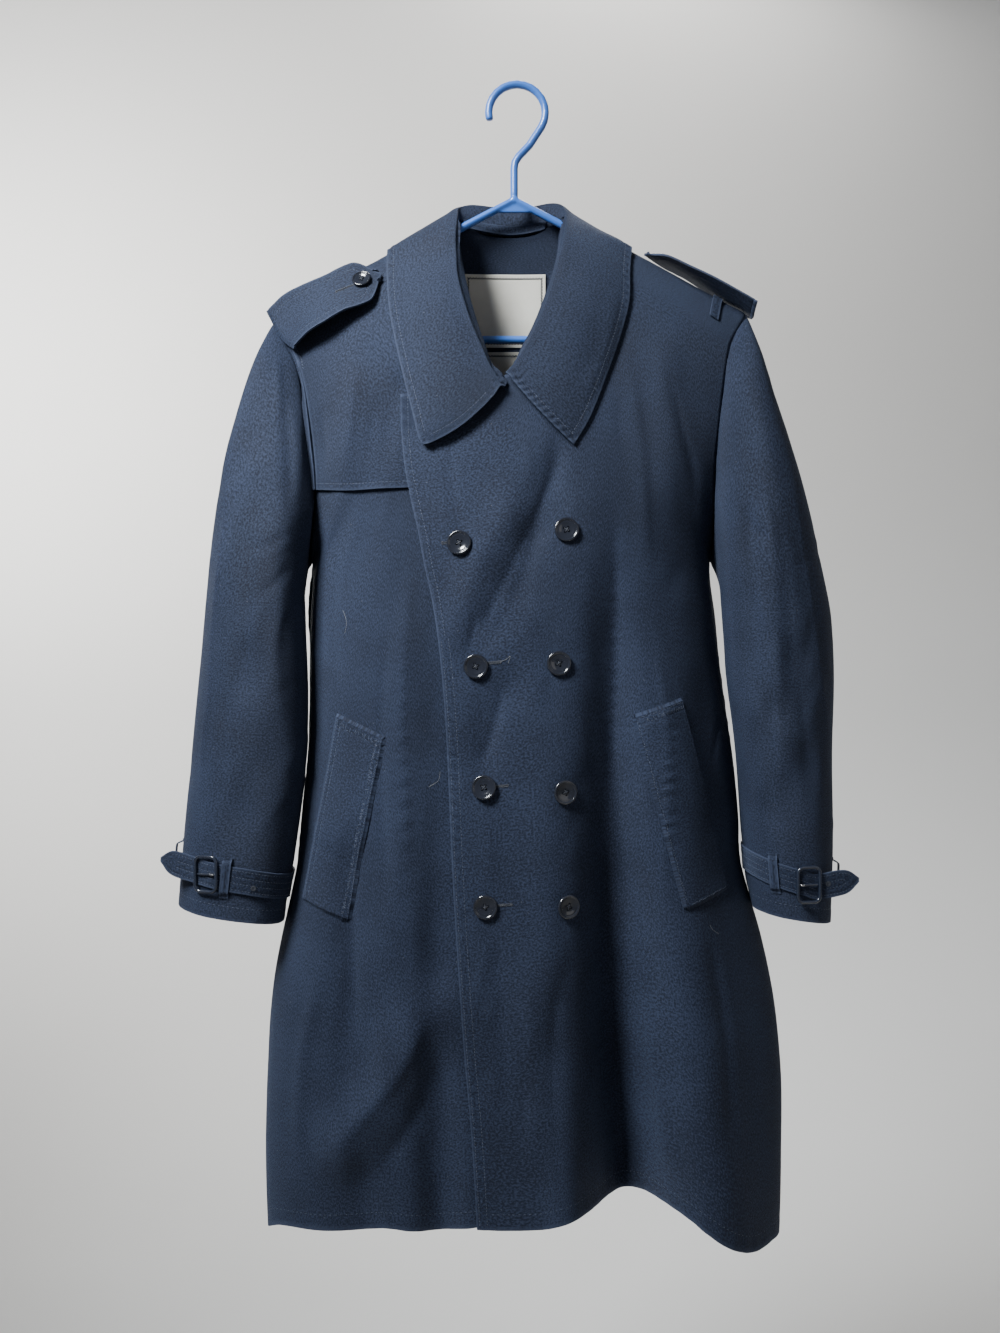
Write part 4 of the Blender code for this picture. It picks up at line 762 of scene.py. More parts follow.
def overFrontShape(rule, co, normals, lift, bm):
    # a dimple round each button, with a few weak rays
    dimples = np.zeros(len(co))
    for centre in buttonPlaces:
        gap = co - np.array(centre)
        distance = np.hypot(gap[:, 0], gap[:, 2])
        near = (distance < pull["reach"]) & (np.abs(gap[:, 1]) < pull["layer"])
        angle = np.arctan2(gap[near, 2], gap[near, 0])
        reach = distance[near]
        rays = np.sin(5 * angle + 40 * centre.x) + 0.6 * np.sin(8 * angle + 60 * centre.z)
        dimples[near] -= pull["depth"] * mm * np.exp(-(reach / pull["dimple"]) ** 2)
        dimples[near] += pull["rays"] * mm * rays * np.exp(-((reach - pull["rayPlace"]) / pull["rayWidth"]) ** 2)
    return lift + dimples


def underFrontShape(rule, co, normals, lift, bm):
    # where the other front lies over it, this one stays at or below its own height
    over = made["front_over"]["surface"]
    gap = np.array([(over.find_nearest(place)[3] or 1.0) for place in co])
    covered = ease((coverEnd - gap) / coverFade)
    below = np.minimum(np.minimum(lift, 0), carriedLift(["front_over"], co))
    return lift * (1 - covered) + below * covered


# the places of folds are millimetres, seen from the front; what a row holds is said at addFolds and looseWrinkles
panels = {
    "front_over": {
        "grid": (22, 30), "fine": (148, 200), "refined": ("left",), "flat": (0.52, 1.04), "shape": overFrontShape,
        "edges": {"left": dict(edgeStitch, seed=4), "low": hemStitch, "right": seamStitch},
        "grooves": {"left": (3, 10.5), "low": (16,)}, "wear": ("left", "low"),
        "allowance": {"right": seamEdge, "high": seamEdge},
        "wrinkles": (46, -0.10, 0.45, (0.05, 0.17), (5, 11), (0.35, 1.0)),
        "folds": (
            (96, -430, 97, -600, 88, -800, 7, -1.6, 0.2), (90, -760, 86, -900, 88, -1080, 8, -2, 0.2),
            (45, -386, 12, -470, -49, -594, 6, -1.5, -0.3), (28, -430, -6, -520, -38, -590, 5, 1, 0),
            (-12, -620, -24, -668, -40, -712, 5, -1.3, 0.2), (-40, -552, -44, -574, -50, -596, 3.5, -1.1, 0),
            (110, -290, 122, -400, 128, -520, 9, 1.4, 0.1), (150, -300, 170, -380, 186, -440, 6, -1.2, 0.2),
            (136, -560, 146, -700, 140, -880, 8, 1.4, -0.2), (190, -560, 212, -640, 222, -740, 6, -1.4, 0.2),
            (186, -860, 204, -960, 212, -1100, 9, -1.8, 0.2), (128, -920, 140, -1020, 156, -1140, 9, 1.6, 0),
            (10, -900, 14, -1000, 18, -1120, 10, 1.2, 0.1), (40, -900, 34, -1000, 42, -1110, 8, -1.2, -0.2),
            (-20, -860, -16, -960, -10, -1090, 9, -1, 0.2),
            (209.1, -648.1, 201.1, -679.9, 193.1, -711.8, 3.4, -0.8, 0),
        ),
    },
    "front_under": {
        "grid": (17, 27), "fine": (119, 189), "flat": (0.44, 1.04), "shape": underFrontShape,
        "edges": {"low": hemStitch, "left": seamStitch}, "grooves": {"low": (16,)}, "wear": ("low",),
        "allowance": {"left": seamEdge, "high": seamEdge},
        "wrinkles": (34, 0.12, 0.45, (0.05, 0.16), (5, 11), (0.35, 1.0)),
        "folds": (
            (-100, -470, -112, -640, -104, -880, 7, 1.5, 0.2), (-128, -540, -136, -700, -128, -840, 7, -1.3, -0.2),
            (-164, -770, -166, -880, -160, -990, 8, -1.8, 0.2), (-86, -940, -120, -1010, -206, -1112, 8, 1.9, 0.3),
            (-80, -985, -100, -1050, -150, -1120, 9, -1.5, 0), (-196, -900, -216, -1000, -222, -1120, 9, 1.5, 0),
            (-180, -470, -186, -560, -176, -640, 7, -1.2, 0.2),
            (-215.8, -685.3, -208.8, -710.3, -200.8, -735.3, 3.4, -0.8, 0),
        ),
    },
    "storm_flap": {
        "grid": (10, 12), "fine": (70, 72), "refined": ("low",), "flat": (0.22, 0.24),
        "edges": {"low": dict(edgeStitch, inset=6.5, pitch=10, seed=6), "left": seamStitch},
        "grooves": {"low": (6.5,), "left": (5,)}, "wear": ("low", "left"), "allowance": {"high": seamEdge},
        "restsOn": ["front_under"], "on": ["front_under"],
        "wrinkles": (9, 0.1, 0.4, (0.04, 0.10), (5, 9), (0.3, 0.7)),
        "folds": (
            (-160, -300, -164, -350, -170, -412, 6, 1.3, 0.2), (-140, -330, -146, -370, -150, -415, 6, -0.9, 0),
            (-200, -340, -196, -370, -192, -410, 5, -0.8, 0), (-110, -320, -118, -370, -120, -415, 7, 0.8, 0),
        ),
    },
    "back": {
        "grid": (20, 25), "fine": (120, 150), "facing": behind, "flat": (0.56, 1.06),
        "edges": {"low": hemStitch, "left": seamStitch, "right": dict(seamStitch, seed=8)},
        "grooves": {"low": (16,)}, "wear": ("low",), "allowance": {"left": seamEdge, "right": seamEdge},
        "wrinkles": (60, 0.0, 0.4, (0.06, 0.18), (6, 12), (0.4, 1.1)),
        "folds": (
            (-120, -420, -128, -640, -140, -900, 9, -1.6, 0.2), (128, -400, 140, -620, 150, -900, 9, -1.7, -0.2),
            (-40, -600, -50, -820, -52, -1100, 9, -2, 0.2), (40, -640, 36, -860, 36, -1110, 9, -1.8, -0.2),
            (-180, -740, -190, -900, -196, -1110, 10, 1.9, 0), (186, -720, 192, -900, 206, -1110, 10, 2, 0),
            (-90, -860, -96, -980, -94, -1110, 10, 1.6, 0.1), (96, -880, 100, -990, 104, -1110, 10, 1.6, -0.1),
            (-150, -260, -110, -330, -40, -400, 9, -1.4, 0.1), (150, -260, 110, -340, 50, -410, 9, -1.4, -0.1),
            (-200, -360, -170, -420, -130, -450, 7, 1.1, 0), (190, -350, 170, -420, 130, -460, 7, 1.1, 0),
        ),
    },
}
for name, rule in panels.items():
    clothPiece(name, rule)


# sleeves

def sleeveShape(rule, co, normals, lift, bm):
    # own folds for the front and the back half, and a groove along the head's seam
    forward = ease((0.15 - normals[:, 1]) / 0.5)
    lift += forward * (addFolds(co, rule["frontFolds"]) + addCreases(co, rule["frontCreases"]))
    lift += (1 - forward) * addFolds(co, rule["backFolds"])
    head, _ = nearPath(co, [vert.co for vert in sideVerts(bm, "high")])
    return lift - rule["headDepth"] * mm * np.exp(-(head / (rule["headWidth"] * mm)) ** 2)


cuffHem = {"inset": 14, "height": 0.25, "pitch": 17, "reach": 9, "slant": 0.4, "seed": 5}
sleeve = {"grid": (16, 19), "fine": (104, 144), "facing": None, "tube": True, "shape": sleeveShape,
          "edges": {"low": cuffHem}, "grooves": {"low": (14,)}, "wear": ("low",), "allowance": {"high": seamEdge},
          "restsOn": ["shoulder seam of the body"], "headDepth": 1.2, "headWidth": 4}
sleeves = {
    "sleeve_left": {
        "flat": (0.42, 0.66), "seed": 11, "wrinkles": (26, -0.12, 0.5, (0.04, 0.12), (4, 8), (0.3, 0.8)),
        "frontCreases": (
            (2.6, 1.5, (
                -252.1, -278, -273.4, -327.5, -282.4, -371, -288.5, -432.6, -295.6, -496.2, -304.7, -565.9, -307.2,
                -629.5, -313.8, -682.1, -316.8, -730.5, -320.8, -758.8,
            )),
            (3.2, 1.4, (
                -247.8, -281.3, -243.8, -309.3, -241.8, -332.3, -238.8, -369.3,
            )),
        ),
        "frontFolds": (
            (-236, -330, -228, -390, -226, -470, 7, -1.6, 0.2), (-262, -470, -266, -560, -276, -650, 8, -1.3, 0.2),
            (-232, -520, -240, -580, -236, -660, 7, 1.2, 0), (-224, -470, -244, -486, -268, -492, 5, -1.2, 0.2),
            (-224, -500, -240, -524, -262, -540, 5, -0.9, 0), (-286, -620, -292, -690, -300, -770, 7, -1.1, 0),
        ),
        "backFolds": (
            (-240, -400, -256, -520, -280, -660, 9, -1.8, 0.2), (-270, -420, -290, -560, -310, -700, 9, 1.5, 0),
            (-236, -560, -262, -590, -296, -600, 6, -1.2, 0.2),
        ),
    },
    "sleeve_right": {
        "flat": (0.42, 0.68), "seed": 12, "wrinkles": (26, 0.10, 0.5, (0.04, 0.12), (4, 8), (0.3, 0.8)),
        "frontCreases": (
            (2.4, 1.5, (
                240.2, -357.3, 242.2, -404.3, 248.2, -465.3, 250.2, -499.3, 254.2, -576.3, 256.2, -633.3, 257.2,
                -690.3, 258.2, -786.3,
            )),
            (2.4, 1.4, (
                267.3, -357.1, 277.6, -429.9, 285.8, -494.5, 296, -565.3, 306.3, -634, 316.6, -683.2,
            )),
        ),
        "frontFolds": (
            (226, -410, 230, -500, 236, -600, 6, -1.5, -0.2), (222, -440, 234, -470, 250, -480, 5, -1.2, 0.2),
            (256, -440, 266, -540, 272, -660, 6, -1.3, 0), (246, -600, 250, -680, 248, -770, 6, -1.1, 0.2),
            (236, -520, 246, -560, 262, -580, 5, 0.9, 0), (276, -600, 286, -680, 290, -770, 7, -1.1, 0),
        ),
        "backFolds": (
            (240, -400, 262, -520, 280, -660, 9, -1.8, -0.2), (272, -420, 290, -560, 306, -700, 9, 1.5, 0),
            (236, -560, 262, -590, 292, -606, 6, -1.2, 0.2),
        ),
    },
}
for name, own in sleeves.items():
    clothPiece(name, {**sleeve, **own})


# collar: the fall and the stand are one sheet that turns over the roll line

collarStitch = dict(edgeStitch, inset=7.5, height=0.55, pitch=8.5)
collar = {
    "fallGrid": (36, 5), "fallWall": 2.2, "standGrid": (32, 2), "standWall": 1.8, "columns": 252,
    "rows": (30, 12, 6),  # fall, roll and stand
    "trials": 161, "evenness": 0.06, "rollHeight": 0.45, "rollMargins": (4, 3),
    "slot": "trim_cloth", "flat": (0.66, 0.15), "restsOn": ["neck seam of the body"], "unevenness": 0.2, "seed": 21,
    "refined": ("low", "left", "right"), "wear": ("low", "left", "right"),
    "edges": {"low": dict(collarStitch, height=0.5, pitch=9.5, seed=9), "left": dict(collarStitch, seed=10),
              "right": dict(collarStitch, seed=11)},
    "grooves": dict.fromkeys(("low", "left", "right"), (7.5,)),
    "folds": (
        (-110, -220, -100, -290, -80, -350, 9, 0.9, 0), (98, -210, 88, -290, 60, -350, 9, 0.9, 0),
    ),
}


def unit(rows):
    return rows / np.linalg.norm(rows, axis=1)[:, None]


def collarSheet():
    fall, out = cadGrid("collar_fall", *collar["fallGrid"], collar["fallWall"] * mm, front)
    stand, _ = cadGrid("collar_stand", *collar["standGrid"], collar["standWall"] * mm, front)
    # the place along the stand that each column of the fall turns over to
    trials = np.linspace(0, 1, collar["trials"])
    head = throughPoints(stand, trials)[:, 0]
    near = []
    for share, top in zip(np.linspace(0, 1, len(fall)), fall[:, -1]):
        cost = np.linalg.norm(head - top, axis=1) + collar["evenness"] * np.abs(trials - share)
        near.append(trials[cost.argmin()])
    near[0], near[-1] = 0, 1
    near = np.convolve(np.pad(near, 2, "reflect", reflect_type="odd"), np.ones(5) / 5, "valid")
    stand = throughPoints(stand, np.clip(near, 0, 1))
    lean = unit(unit(fall[:, -1] - fall[:, -2]) + unit(stand[:, 0] - stand[:, 1]))
    gap = np.linalg.norm(fall[:, -1] - stand[:, 0], axis=1)[:, None]
    roll = (fall[:, -1] + stand[:, 0]) / 2 + lean * gap * collar["rollHeight"]
    columns = throughPoints(np.concatenate([fall, roll[:, None], stand], axis=1),
                            np.linspace(0, 1, collar["columns"] + 1))
    count = fall.shape[1]
    before, after = collar["rollMargins"]
    places = []
    for column in columns:
        steps = np.linalg.norm(np.diff(column, axis=0), axis=1)
        at = np.concatenate([[0], np.cumsum(steps)])
        slopes = np.diff(column, axis=0) / steps[:, None]
        tangents = np.concatenate([slopes[:1], (steps[1:, None] * slopes[:-1] + steps[:-1, None] * slopes[1:])
                                   / (steps[1:] + steps[:-1])[:, None], slopes[-1:]])
        marks = (0, at[count - 1] - before * mm, at[count + 1] + after * mm, at[-1])
        stations = np.concatenate([np.linspace(start, end, rows + 1)[:-1]
                                   for start, end, rows in zip(marks, marks[1:], collar["rows"])] + [at[-1:]])
        low = np.clip(np.searchsorted(at, stations, "right") - 1, 0, len(steps) - 1)
        t = ((stations - at[low]) / steps[low])[:, None]
        h = steps[low][:, None]
        places.append((2 * t ** 3 - 3 * t ** 2 + 1) * column[low] + (t ** 3 - 2 * t ** 2 + t) * h * tangents[low]
                      + (3 * t ** 2 - 2 * t ** 3) * column[low + 1] + (t ** 3 - t ** 2) * h * tangents[low + 1])
    spot = (4, 2)
    return sheetThrough(np.array(places), Vector(fall[spot]), Vector(out[spot]))


clothPiece("collar", collar, collarSheet(), ["collar_fall", "collar_stand"])


# pocket welts, straps, loops and labels

flushSeam = ((0.5, 1.2), (3.0, 2.2))
weltStitch = {"inset": 7, "height": 0.5, "pitch": 6, "reach": 5, "slant": 0.3, "seed": 13}
strapStitch = {"inset": 9, "height": 0.22, "pitch": 12, "reach": 6, "slant": 0.3, "seed": 14}
cuffStitch = {"inset": 8, "height": 0.16, "pitch": 11, "reach": 6, "slant": 0.3, "seed": 15}
welt = {"grid": (4, 12), "fine": (36, 108), "refined": ("high",), "flat": (0.065, 0.20), "unevenness": 0.15}
shoulderStrap = {"grid": (10, 4), "fine": (100, 40), "facing": above, "wall": 2.0, "slot": "trim_cloth",
                 "flat": (0.14, 0.06), "unevenness": 0.15}
cuffStrap = {"grid": (26, 2), "fine": (260, 20), "facing": None, "wall": 2.0, "strap": True, "slot": "trim_cloth",
             "grooves": {"low": (3, 9.5), "high": (3, 9.5)}, "flat": (0.40, 0.03), "unevenness": 0.12}
smallParts = {
    "pocket_welt_left": {
        **welt, "edges": {"high": weltStitch}, "grooves": {"left": (2, 7.5), "right": (2, 7.5), "high": (8,)},
        "wear": ("left",), "allowance": dict.fromkeys(("right", "high", "low"), flushSeam),
        "restsOn": ["front_under"], "on": ["front_under"]},
    "pocket_welt_right": {
        **welt, "edges": {"high": dict(weltStitch, height=0.4)},
        "grooves": {"left": (2,), "right": (2,), "high": (2, 8)},
        "allowance": dict.fromkeys(("left", "high", "low"), flushSeam),
        "restsOn": ["front_over"], "on": ["front_over"]},
}
for side, free, seed, carrier in (("left", "right", 16, "storm_flap"), ("right", "left", 17, "front_over")):
    smallParts["shoulder_strap_" + side] = {
        **shoulderStrap, "edges": {"low": strapStitch, "high": dict(strapStitch, seed=seed)},
        "grooves": dict.fromkeys(("low", "high", free), (9.5,)), "wear": ("low", "high", free),
        "allowance": {side: seamEdge}, "restsOn": [carrier]}
for side, seed in (("left", 18), ("right", 19)):
    smallParts["cuff_strap_" + side] = {
        **cuffStrap, "edges": {"low": cuffStitch, "high": dict(cuffStitch, seed=seed)},
        "wear": ("low", "high", side), "restsOn": ["sleeve_" + side]}

carrierLoop = {"grid": (8, 1), "fine": (56, 12), "wall": 1.0, "slot": "trim_cloth", "rim": 0.35, "unevenness": 0.1,
               "wear": ("low", "high"), "grooves": {"low": (2,), "high": (2,)}}
for name, facing, length, carrier in (
        ("strap_loop_left", (0, -0.5, 1), 0.06, "sleeve_left"),
        ("strap_loop_right", (0, -0.5, 1), 0.06, "sleeve_right"),
        ("cuff_loop_left", front, 0.06, "sleeve_left"),
        ("cuff_loop_right", front, 0.06, "sleeve_right"),
        ("cuff_outer_loop_left", (-1, 0, 0), 0.065, "sleeve_left"),
        ("cuff_outer_loop_right", (1, 0, 0), 0.065, "sleeve_right"),
        ("hanging_loop", front, 0.10, "back")):
    smallParts[name] = {**carrierLoop, "facing": Vector(facing), "flat": (length, 0.012), "restsOn": [carrier]}

label = {"grid": (6, 4), "fine": (72, 60), "wall": 1.0, "rim": 0.25, "slot": "label_cloth", "restsOn": ["back"],
         "unevenness": 0.5, "grooves": dict.fromkeys(sideNames, (4.5,))}
labels = {"label_main": {**label, "flat": (0.09, 0.08), "seed": 31},
          "label_lower": {**label, "flat": (0.06, 0.034), "seed": 33}}
for name, rule in {**smallParts, **labels}.items():
    clothPiece(name, rule)


# rigid pieces: rings bridged into tubes, and turned shapes

def nodeFrame(node):
    # the middle of a flat CAD piece and its axis towards the front
    bm = nodeMesh(node)
    points = np.array([vert.co for vert in bm.verts])
    bm.free()
    _, ways = np.linalg.eigh(np.cov((points - points.mean(0)).T))
    axis = Vector(ways[:, 0])
    if axis.y > 0:
        axis.negate()
    return Vector(points.mean(0)), axis


def turnTo(across, way):
    return Matrix((across, way.cross(across), way)).transposed().to_4x4()


def ringAt(bm, place, way, radius, sides):
    way = way.normalized()
    across = (behind - way * behind.dot(way)).normalized()
    ring = bmesh.ops.create_circle(bm, segments=sides, radius=radius,
                                   matrix=Matrix.Translation(place) @ turnTo(across, way))
    return {edge for vert in ring["verts"] for edge in vert.link_edges}


def tubeThrough(bm, points, radii, sides, closed=False):
    last = len(points) - 1
    rings = []
    for i, (place, radius) in enumerate(zip(points, radii)):
        if closed:
            way = points[(i + 1) % len(points)] - points[i - 1]
        else:
            way = points[min(i + 1, last)] - points[max(i - 1, 0)]
        rings.append(ringAt(bm, place, way, radius, sides))
    for first, second in list(zip(rings, rings[1:])) + ([(rings[-1], rings[0])] if closed else []):
        bmesh.ops.bridge_loops(bm, edges=list(first | second))
    if not closed:
        for ring in (rings[0], rings[-1]):
            bmesh.ops.edgeloop_fill(bm, edges=list(ring))


button = {"radius": 12.1, "strapRadius": 9.8, "thickness": 3.6, "steps": 56, "holeRadius": 1.15, "holeOffset": 1.9,
          "holeSides": 20, "drillDepth": 8, "drillHeight": 2, "tieHeight": 1.35, "tieRadius": 0.42, "tieSpread": 0.3,
          "tieLift": 0.45, "tieCross": 0.2, "roll": 0.5, "sharpAngle": 38,
          # radius and height in millimetres, from the middle of the back round the rim to the dished face
          "profile": ((0, 0), (8.6, 0), (10.6, 0.35), (11.7, 1.1), (12.1, 2.0), (12.0, 2.7), (11.6, 3.3), (11.0, 3.6),
                      (10.3, 3.55), (9.75, 3.2), (9.35, 2.7), (8.9, 2.5), (8.2, 2.55), (7.4, 2.45), (6.3, 2.1),
                      (5.0, 1.8), (3.0, 1.6), (0, 1.55))}


def turnedButton():
    bm = bmesh.new()
    line = [bm.verts.new((r * mm, 0, h * mm)) for r, h in button["profile"]]
    edges = [bm.edges.new(pair) for pair in zip(line, line[1:])]
    bmesh.ops.spin(bm, geom=line + edges, cent=(0, 0, 0), axis=(0, 0, 1), angle=2 * math.pi, steps=button["steps"],
                   use_merge=True)
    bmesh.ops.remove_doubles(bm, verts=bm.verts[:], dist=1e-6)
    bmesh.ops.recalc_face_normals(bm, faces=bm.faces[:])
    blank = addObject("button_blank", bm, buttonPlastic)
    cutters = bmesh.new()
    off, radius = button["holeOffset"] * mm, button["holeRadius"] * mm
    for x, y in ((-off, -off), (-off, off), (off, -off), (off, off)):
        bmesh.ops.create_cone(cutters, cap_ends=True, segments=button["holeSides"], radius1=radius, radius2=radius,
                              depth=button["drillDepth"] * mm,
                              matrix=Matrix.Translation((x, y, button["drillHeight"] * mm)))
    drill = addObject("button_drill", cutters, buttonPlastic)
    cut = blank.modifiers.new("holes", "BOOLEAN")
    cut.object = drill
    cut.solver = "EXACT"
    bpy.context.view_layer.update()
    drilled = bpy.data.meshes.new_from_object(blank.evaluated_get(bpy.context.evaluated_depsgraph_get()))
    for spare in (blank, drill):
        bpy.data.objects.remove(spare)
    return drilled


def addThread(stitches, start, end, radius, lift=Vector()):
    # one stitch: a slim bead that runs from start to end, kept as its place until the beads are made
    way = end - start
    side = Vector((0, 0, 1)) if abs(way.normalized().z) < 0.9 else Vector((1, 0, 0))
    size = Matrix.Diagonal((radius, radius, way.length / 2, 1))
    turn = turnTo(way.cross(side).normalized(), way.normalized())
    stitches.append(Matrix.Translation((start + end) / 2 + lift) @ turn @ size)


def threadBeads(stitches, chunk=64):
    # small batches are joined in turn, because one long bmesh grows slow
    bead = bpy.data.meshes.new("bead")
    bm = bmesh.new()
    bmesh.ops.create_uvsphere(bm, u_segments=6, v_segments=4, radius=1)
    bm.to_mesh(bead)
    bm.free()
    whole = bmesh.new()
    for first in range(0, len(stitches), chunk):
        bm = bmesh.new()
        for place in stitches[first: first + chunk]:
            bm.from_mesh(bead)
            bm.verts.ensure_lookup_table()
            bmesh.ops.transform(bm, matrix=place, verts=bm.verts[-len(bead.vertices):])
        batch = bpy.data.meshes.new("batch")
        bm.to_mesh(batch)
        bm.free()
        whole.from_mesh(batch)
        bpy.data.meshes.remove(batch)
    return whole


blankButton = turnedButton()
ties = []


def placeButton(node, radius, roll, carrier):
    middle, axis = nodeFrame(node)
    if carrier:
        middle = middle + Vector((0, -1, 0)) * float(carriedLift([carrier], np.array([middle]), 20 * mm)[0])
    scale = radius / button["radius"]
    turn = axis.to_track_quat("Z", "Y").to_matrix().to_4x4() @ Matrix.Rotation(roll, 4, "Z")
    seat = Matrix.Translation(middle - axis * button["thickness"] * scale * mm / 2) @ turn @ Matrix.Scale(scale, 4)
    bm = bmesh.new()
    bm.from_mesh(blankButton)
    bm.transform(seat)
    piece = addObject(node + "_turned", bm, buttonPlastic)
    piece.data.set_sharp_from_angle(angle=math.radians(button["sharpAngle"]))
    settle(piece, "button_plastic", node)
    off, height = button["holeOffset"] * mm, button["tieHeight"] * mm
    for sign in (-1, 1):
        for aside in (-button["tieSpread"] * mm, button["tieSpread"] * mm):
            start = seat @ Vector((-off + aside, -off * sign + aside * sign, height))
            end = seat @ Vector((off + aside, off * sign + aside * sign, height))
            lift = button["tieLift"] + button["tieCross"] * (sign > 0)
            addThread(ties, start, end, button["tieRadius"] * mm, axis * lift * mm)


for node in frame["nodes"]:
    if node.startswith("button_"):
        placeButton(node, button["radius"], dice.uniform(-button["roll"], button["roll"]), "front_over")
    elif node.startswith("shoulder_button_"):
        placeButton(node, button["strapRadius"], dice.uniform(-button["roll"], button["roll"]), None)
print("buttons turned and drilled")

buckle = {"width": 27, "height": 38, "bar": 1.75, "corner": 6.0, "cornerSteps": 6, "sides": 14,
          # the prong runs along the frame's X: its parts, its dip at the near bar and its rounded end
          "prong": (("shank", -9.6, 5.6, bucklePlastic), ("tip", 5.2, 9.8, chrome)), "prongRadius": 1.15,
          "prongSides": 10, "prongSteps": 13, "prongHeight": 0.2, "dip": 0.9, "dipPlace": 9, "dipWidth": 3.2,
          "endStart": 8.4, "endShare": 0.2}


def roundedFrame():
    # corner arcs of the frame's middle line, a closed path in X and Z
    w = (buckle["width"] / 2 - buckle["bar"]) * mm
    h = (buckle["height"] / 2 - buckle["bar"]) * mm
    r = buckle["corner"] * mm
    path = []
    for cx, cz, turn in ((w - r, h - r, 0), (r - w, h - r, 90), (r - w, r - h, 180), (w - r, r - h, 270)):
        for step in range(buckle["cornerSteps"] + 1):
            angle = math.radians(turn + 90 * step / buckle["cornerSteps"])
            path.append(Vector((cx + r * math.cos(angle), 0, cz + r * math.sin(angle))))
    return path


def seatedTube(name, line, radii, sides, closed, seat, material, slot, node):
    bm = bmesh.new()
    tubeThrough(bm, line, radii, sides, closed)
    bmesh.ops.recalc_face_normals(bm, faces=bm.faces[:])
    bm.transform(seat)
    settle(addObject(name, bm, material), slot, node)


def placeBuckle(side, tipSign):
    middle, axis = nodeFrame("buckle_" + side)
    across = Vector((0, 0, 1)).cross(axis).normalized()
    if across.x < 0:
        across.negate()
    seat = Matrix.Translation(middle) @ Matrix((across, -axis, Vector((0, 0, 1)))).transposed().to_4x4()
    path = roundedFrame()
    seatedTube("buckle_frame_" + side, path, [buckle["bar"] * mm] * len(path), buckle["sides"], True, seat,
               bucklePlastic, "buckle_plastic", "buckle_" + side)
    # the prong turns on the far bar; its bare tip rests on the near one
    for name, start, end, material in buckle["prong"]:
        line, radii = [], []
        for x in np.linspace(start, end, buckle["prongSteps"]):
            dip = buckle["dip"] * math.exp(-((x - buckle["dipPlace"]) / buckle["dipWidth"]) ** 2)
            line.append(Vector((x * tipSign * mm, (-buckle["prongHeight"] - dip) * mm, 0)))
            taper = 1 - max(0.0, abs(x) - buckle["endStart"]) ** 2 / 2
            radii.append(buckle["prongRadius"] * mm * max(buckle["endShare"], taper))
        seatedTube(f"prong_{name}_{side}", line, radii, buckle["prongSides"], False, seat, material, "prong_metal",
                   "prong_" + side)


placeBuckle("left", 1)
placeBuckle("right", -1)
print("buckles made")


# hanger: one moulded tube over the three CAD runs, remeshed smooth

hanger = {"nodes": ("hanger_hook", "hanger_arms", "hanger_bar"), "ballRadius": 4.7, "voxel": 1.25, "swell": 0.35,
          "webThickness": 3.0, "joints": ((-0.003, 0, -0.1172), (-0.1797, 0, -0.2636), (0.1797, 0, -0.2636)),
          "web": ((-0.0187, -0.1301), (0.0146, -0.1301), (-0.0027, -0.1168))}
bm = nodeMesh(*hanger["nodes"])
for joint in hanger["joints"]:
    bmesh.ops.create_uvsphere(bm, u_segments=24, v_segments=16, radius=hanger["ballRadius"] * mm,
                              matrix=Matrix.Translation(joint))
half = hanger["webThickness"] * mm / 2
web = bm.faces.new([bm.verts.new((x, half, z)) for x, z in hanger["web"]])
sides = bmesh.ops.extrude_face_region(bm, geom=[web])["geom"]
bmesh.ops.translate(bm, verts=[item for item in sides if isinstance(item, bmesh.types.BMVert)],
                    vec=(0, -2 * half, 0))
piece = addObject("hanger_tube", bm, hangerPlastic)
whole = piece.modifiers.new("one piece", "REMESH")
whole.mode = "VOXEL"
whole.voxel_size = hanger["voxel"] * mm
whole.use_smooth_shade = True
soft = piece.modifiers.new("rounding", "SMOOTH")
soft.factor = 0.5
soft.iterations = 4
swell = piece.modifiers.new("full bore", "DISPLACE")
swell.strength = hanger["swell"] * mm
swell.mid_level = 0
settle(piece, "hanger_plastic", *hanger["nodes"])
print("hanger moulded")


# stitches: slim beads laid along the rows

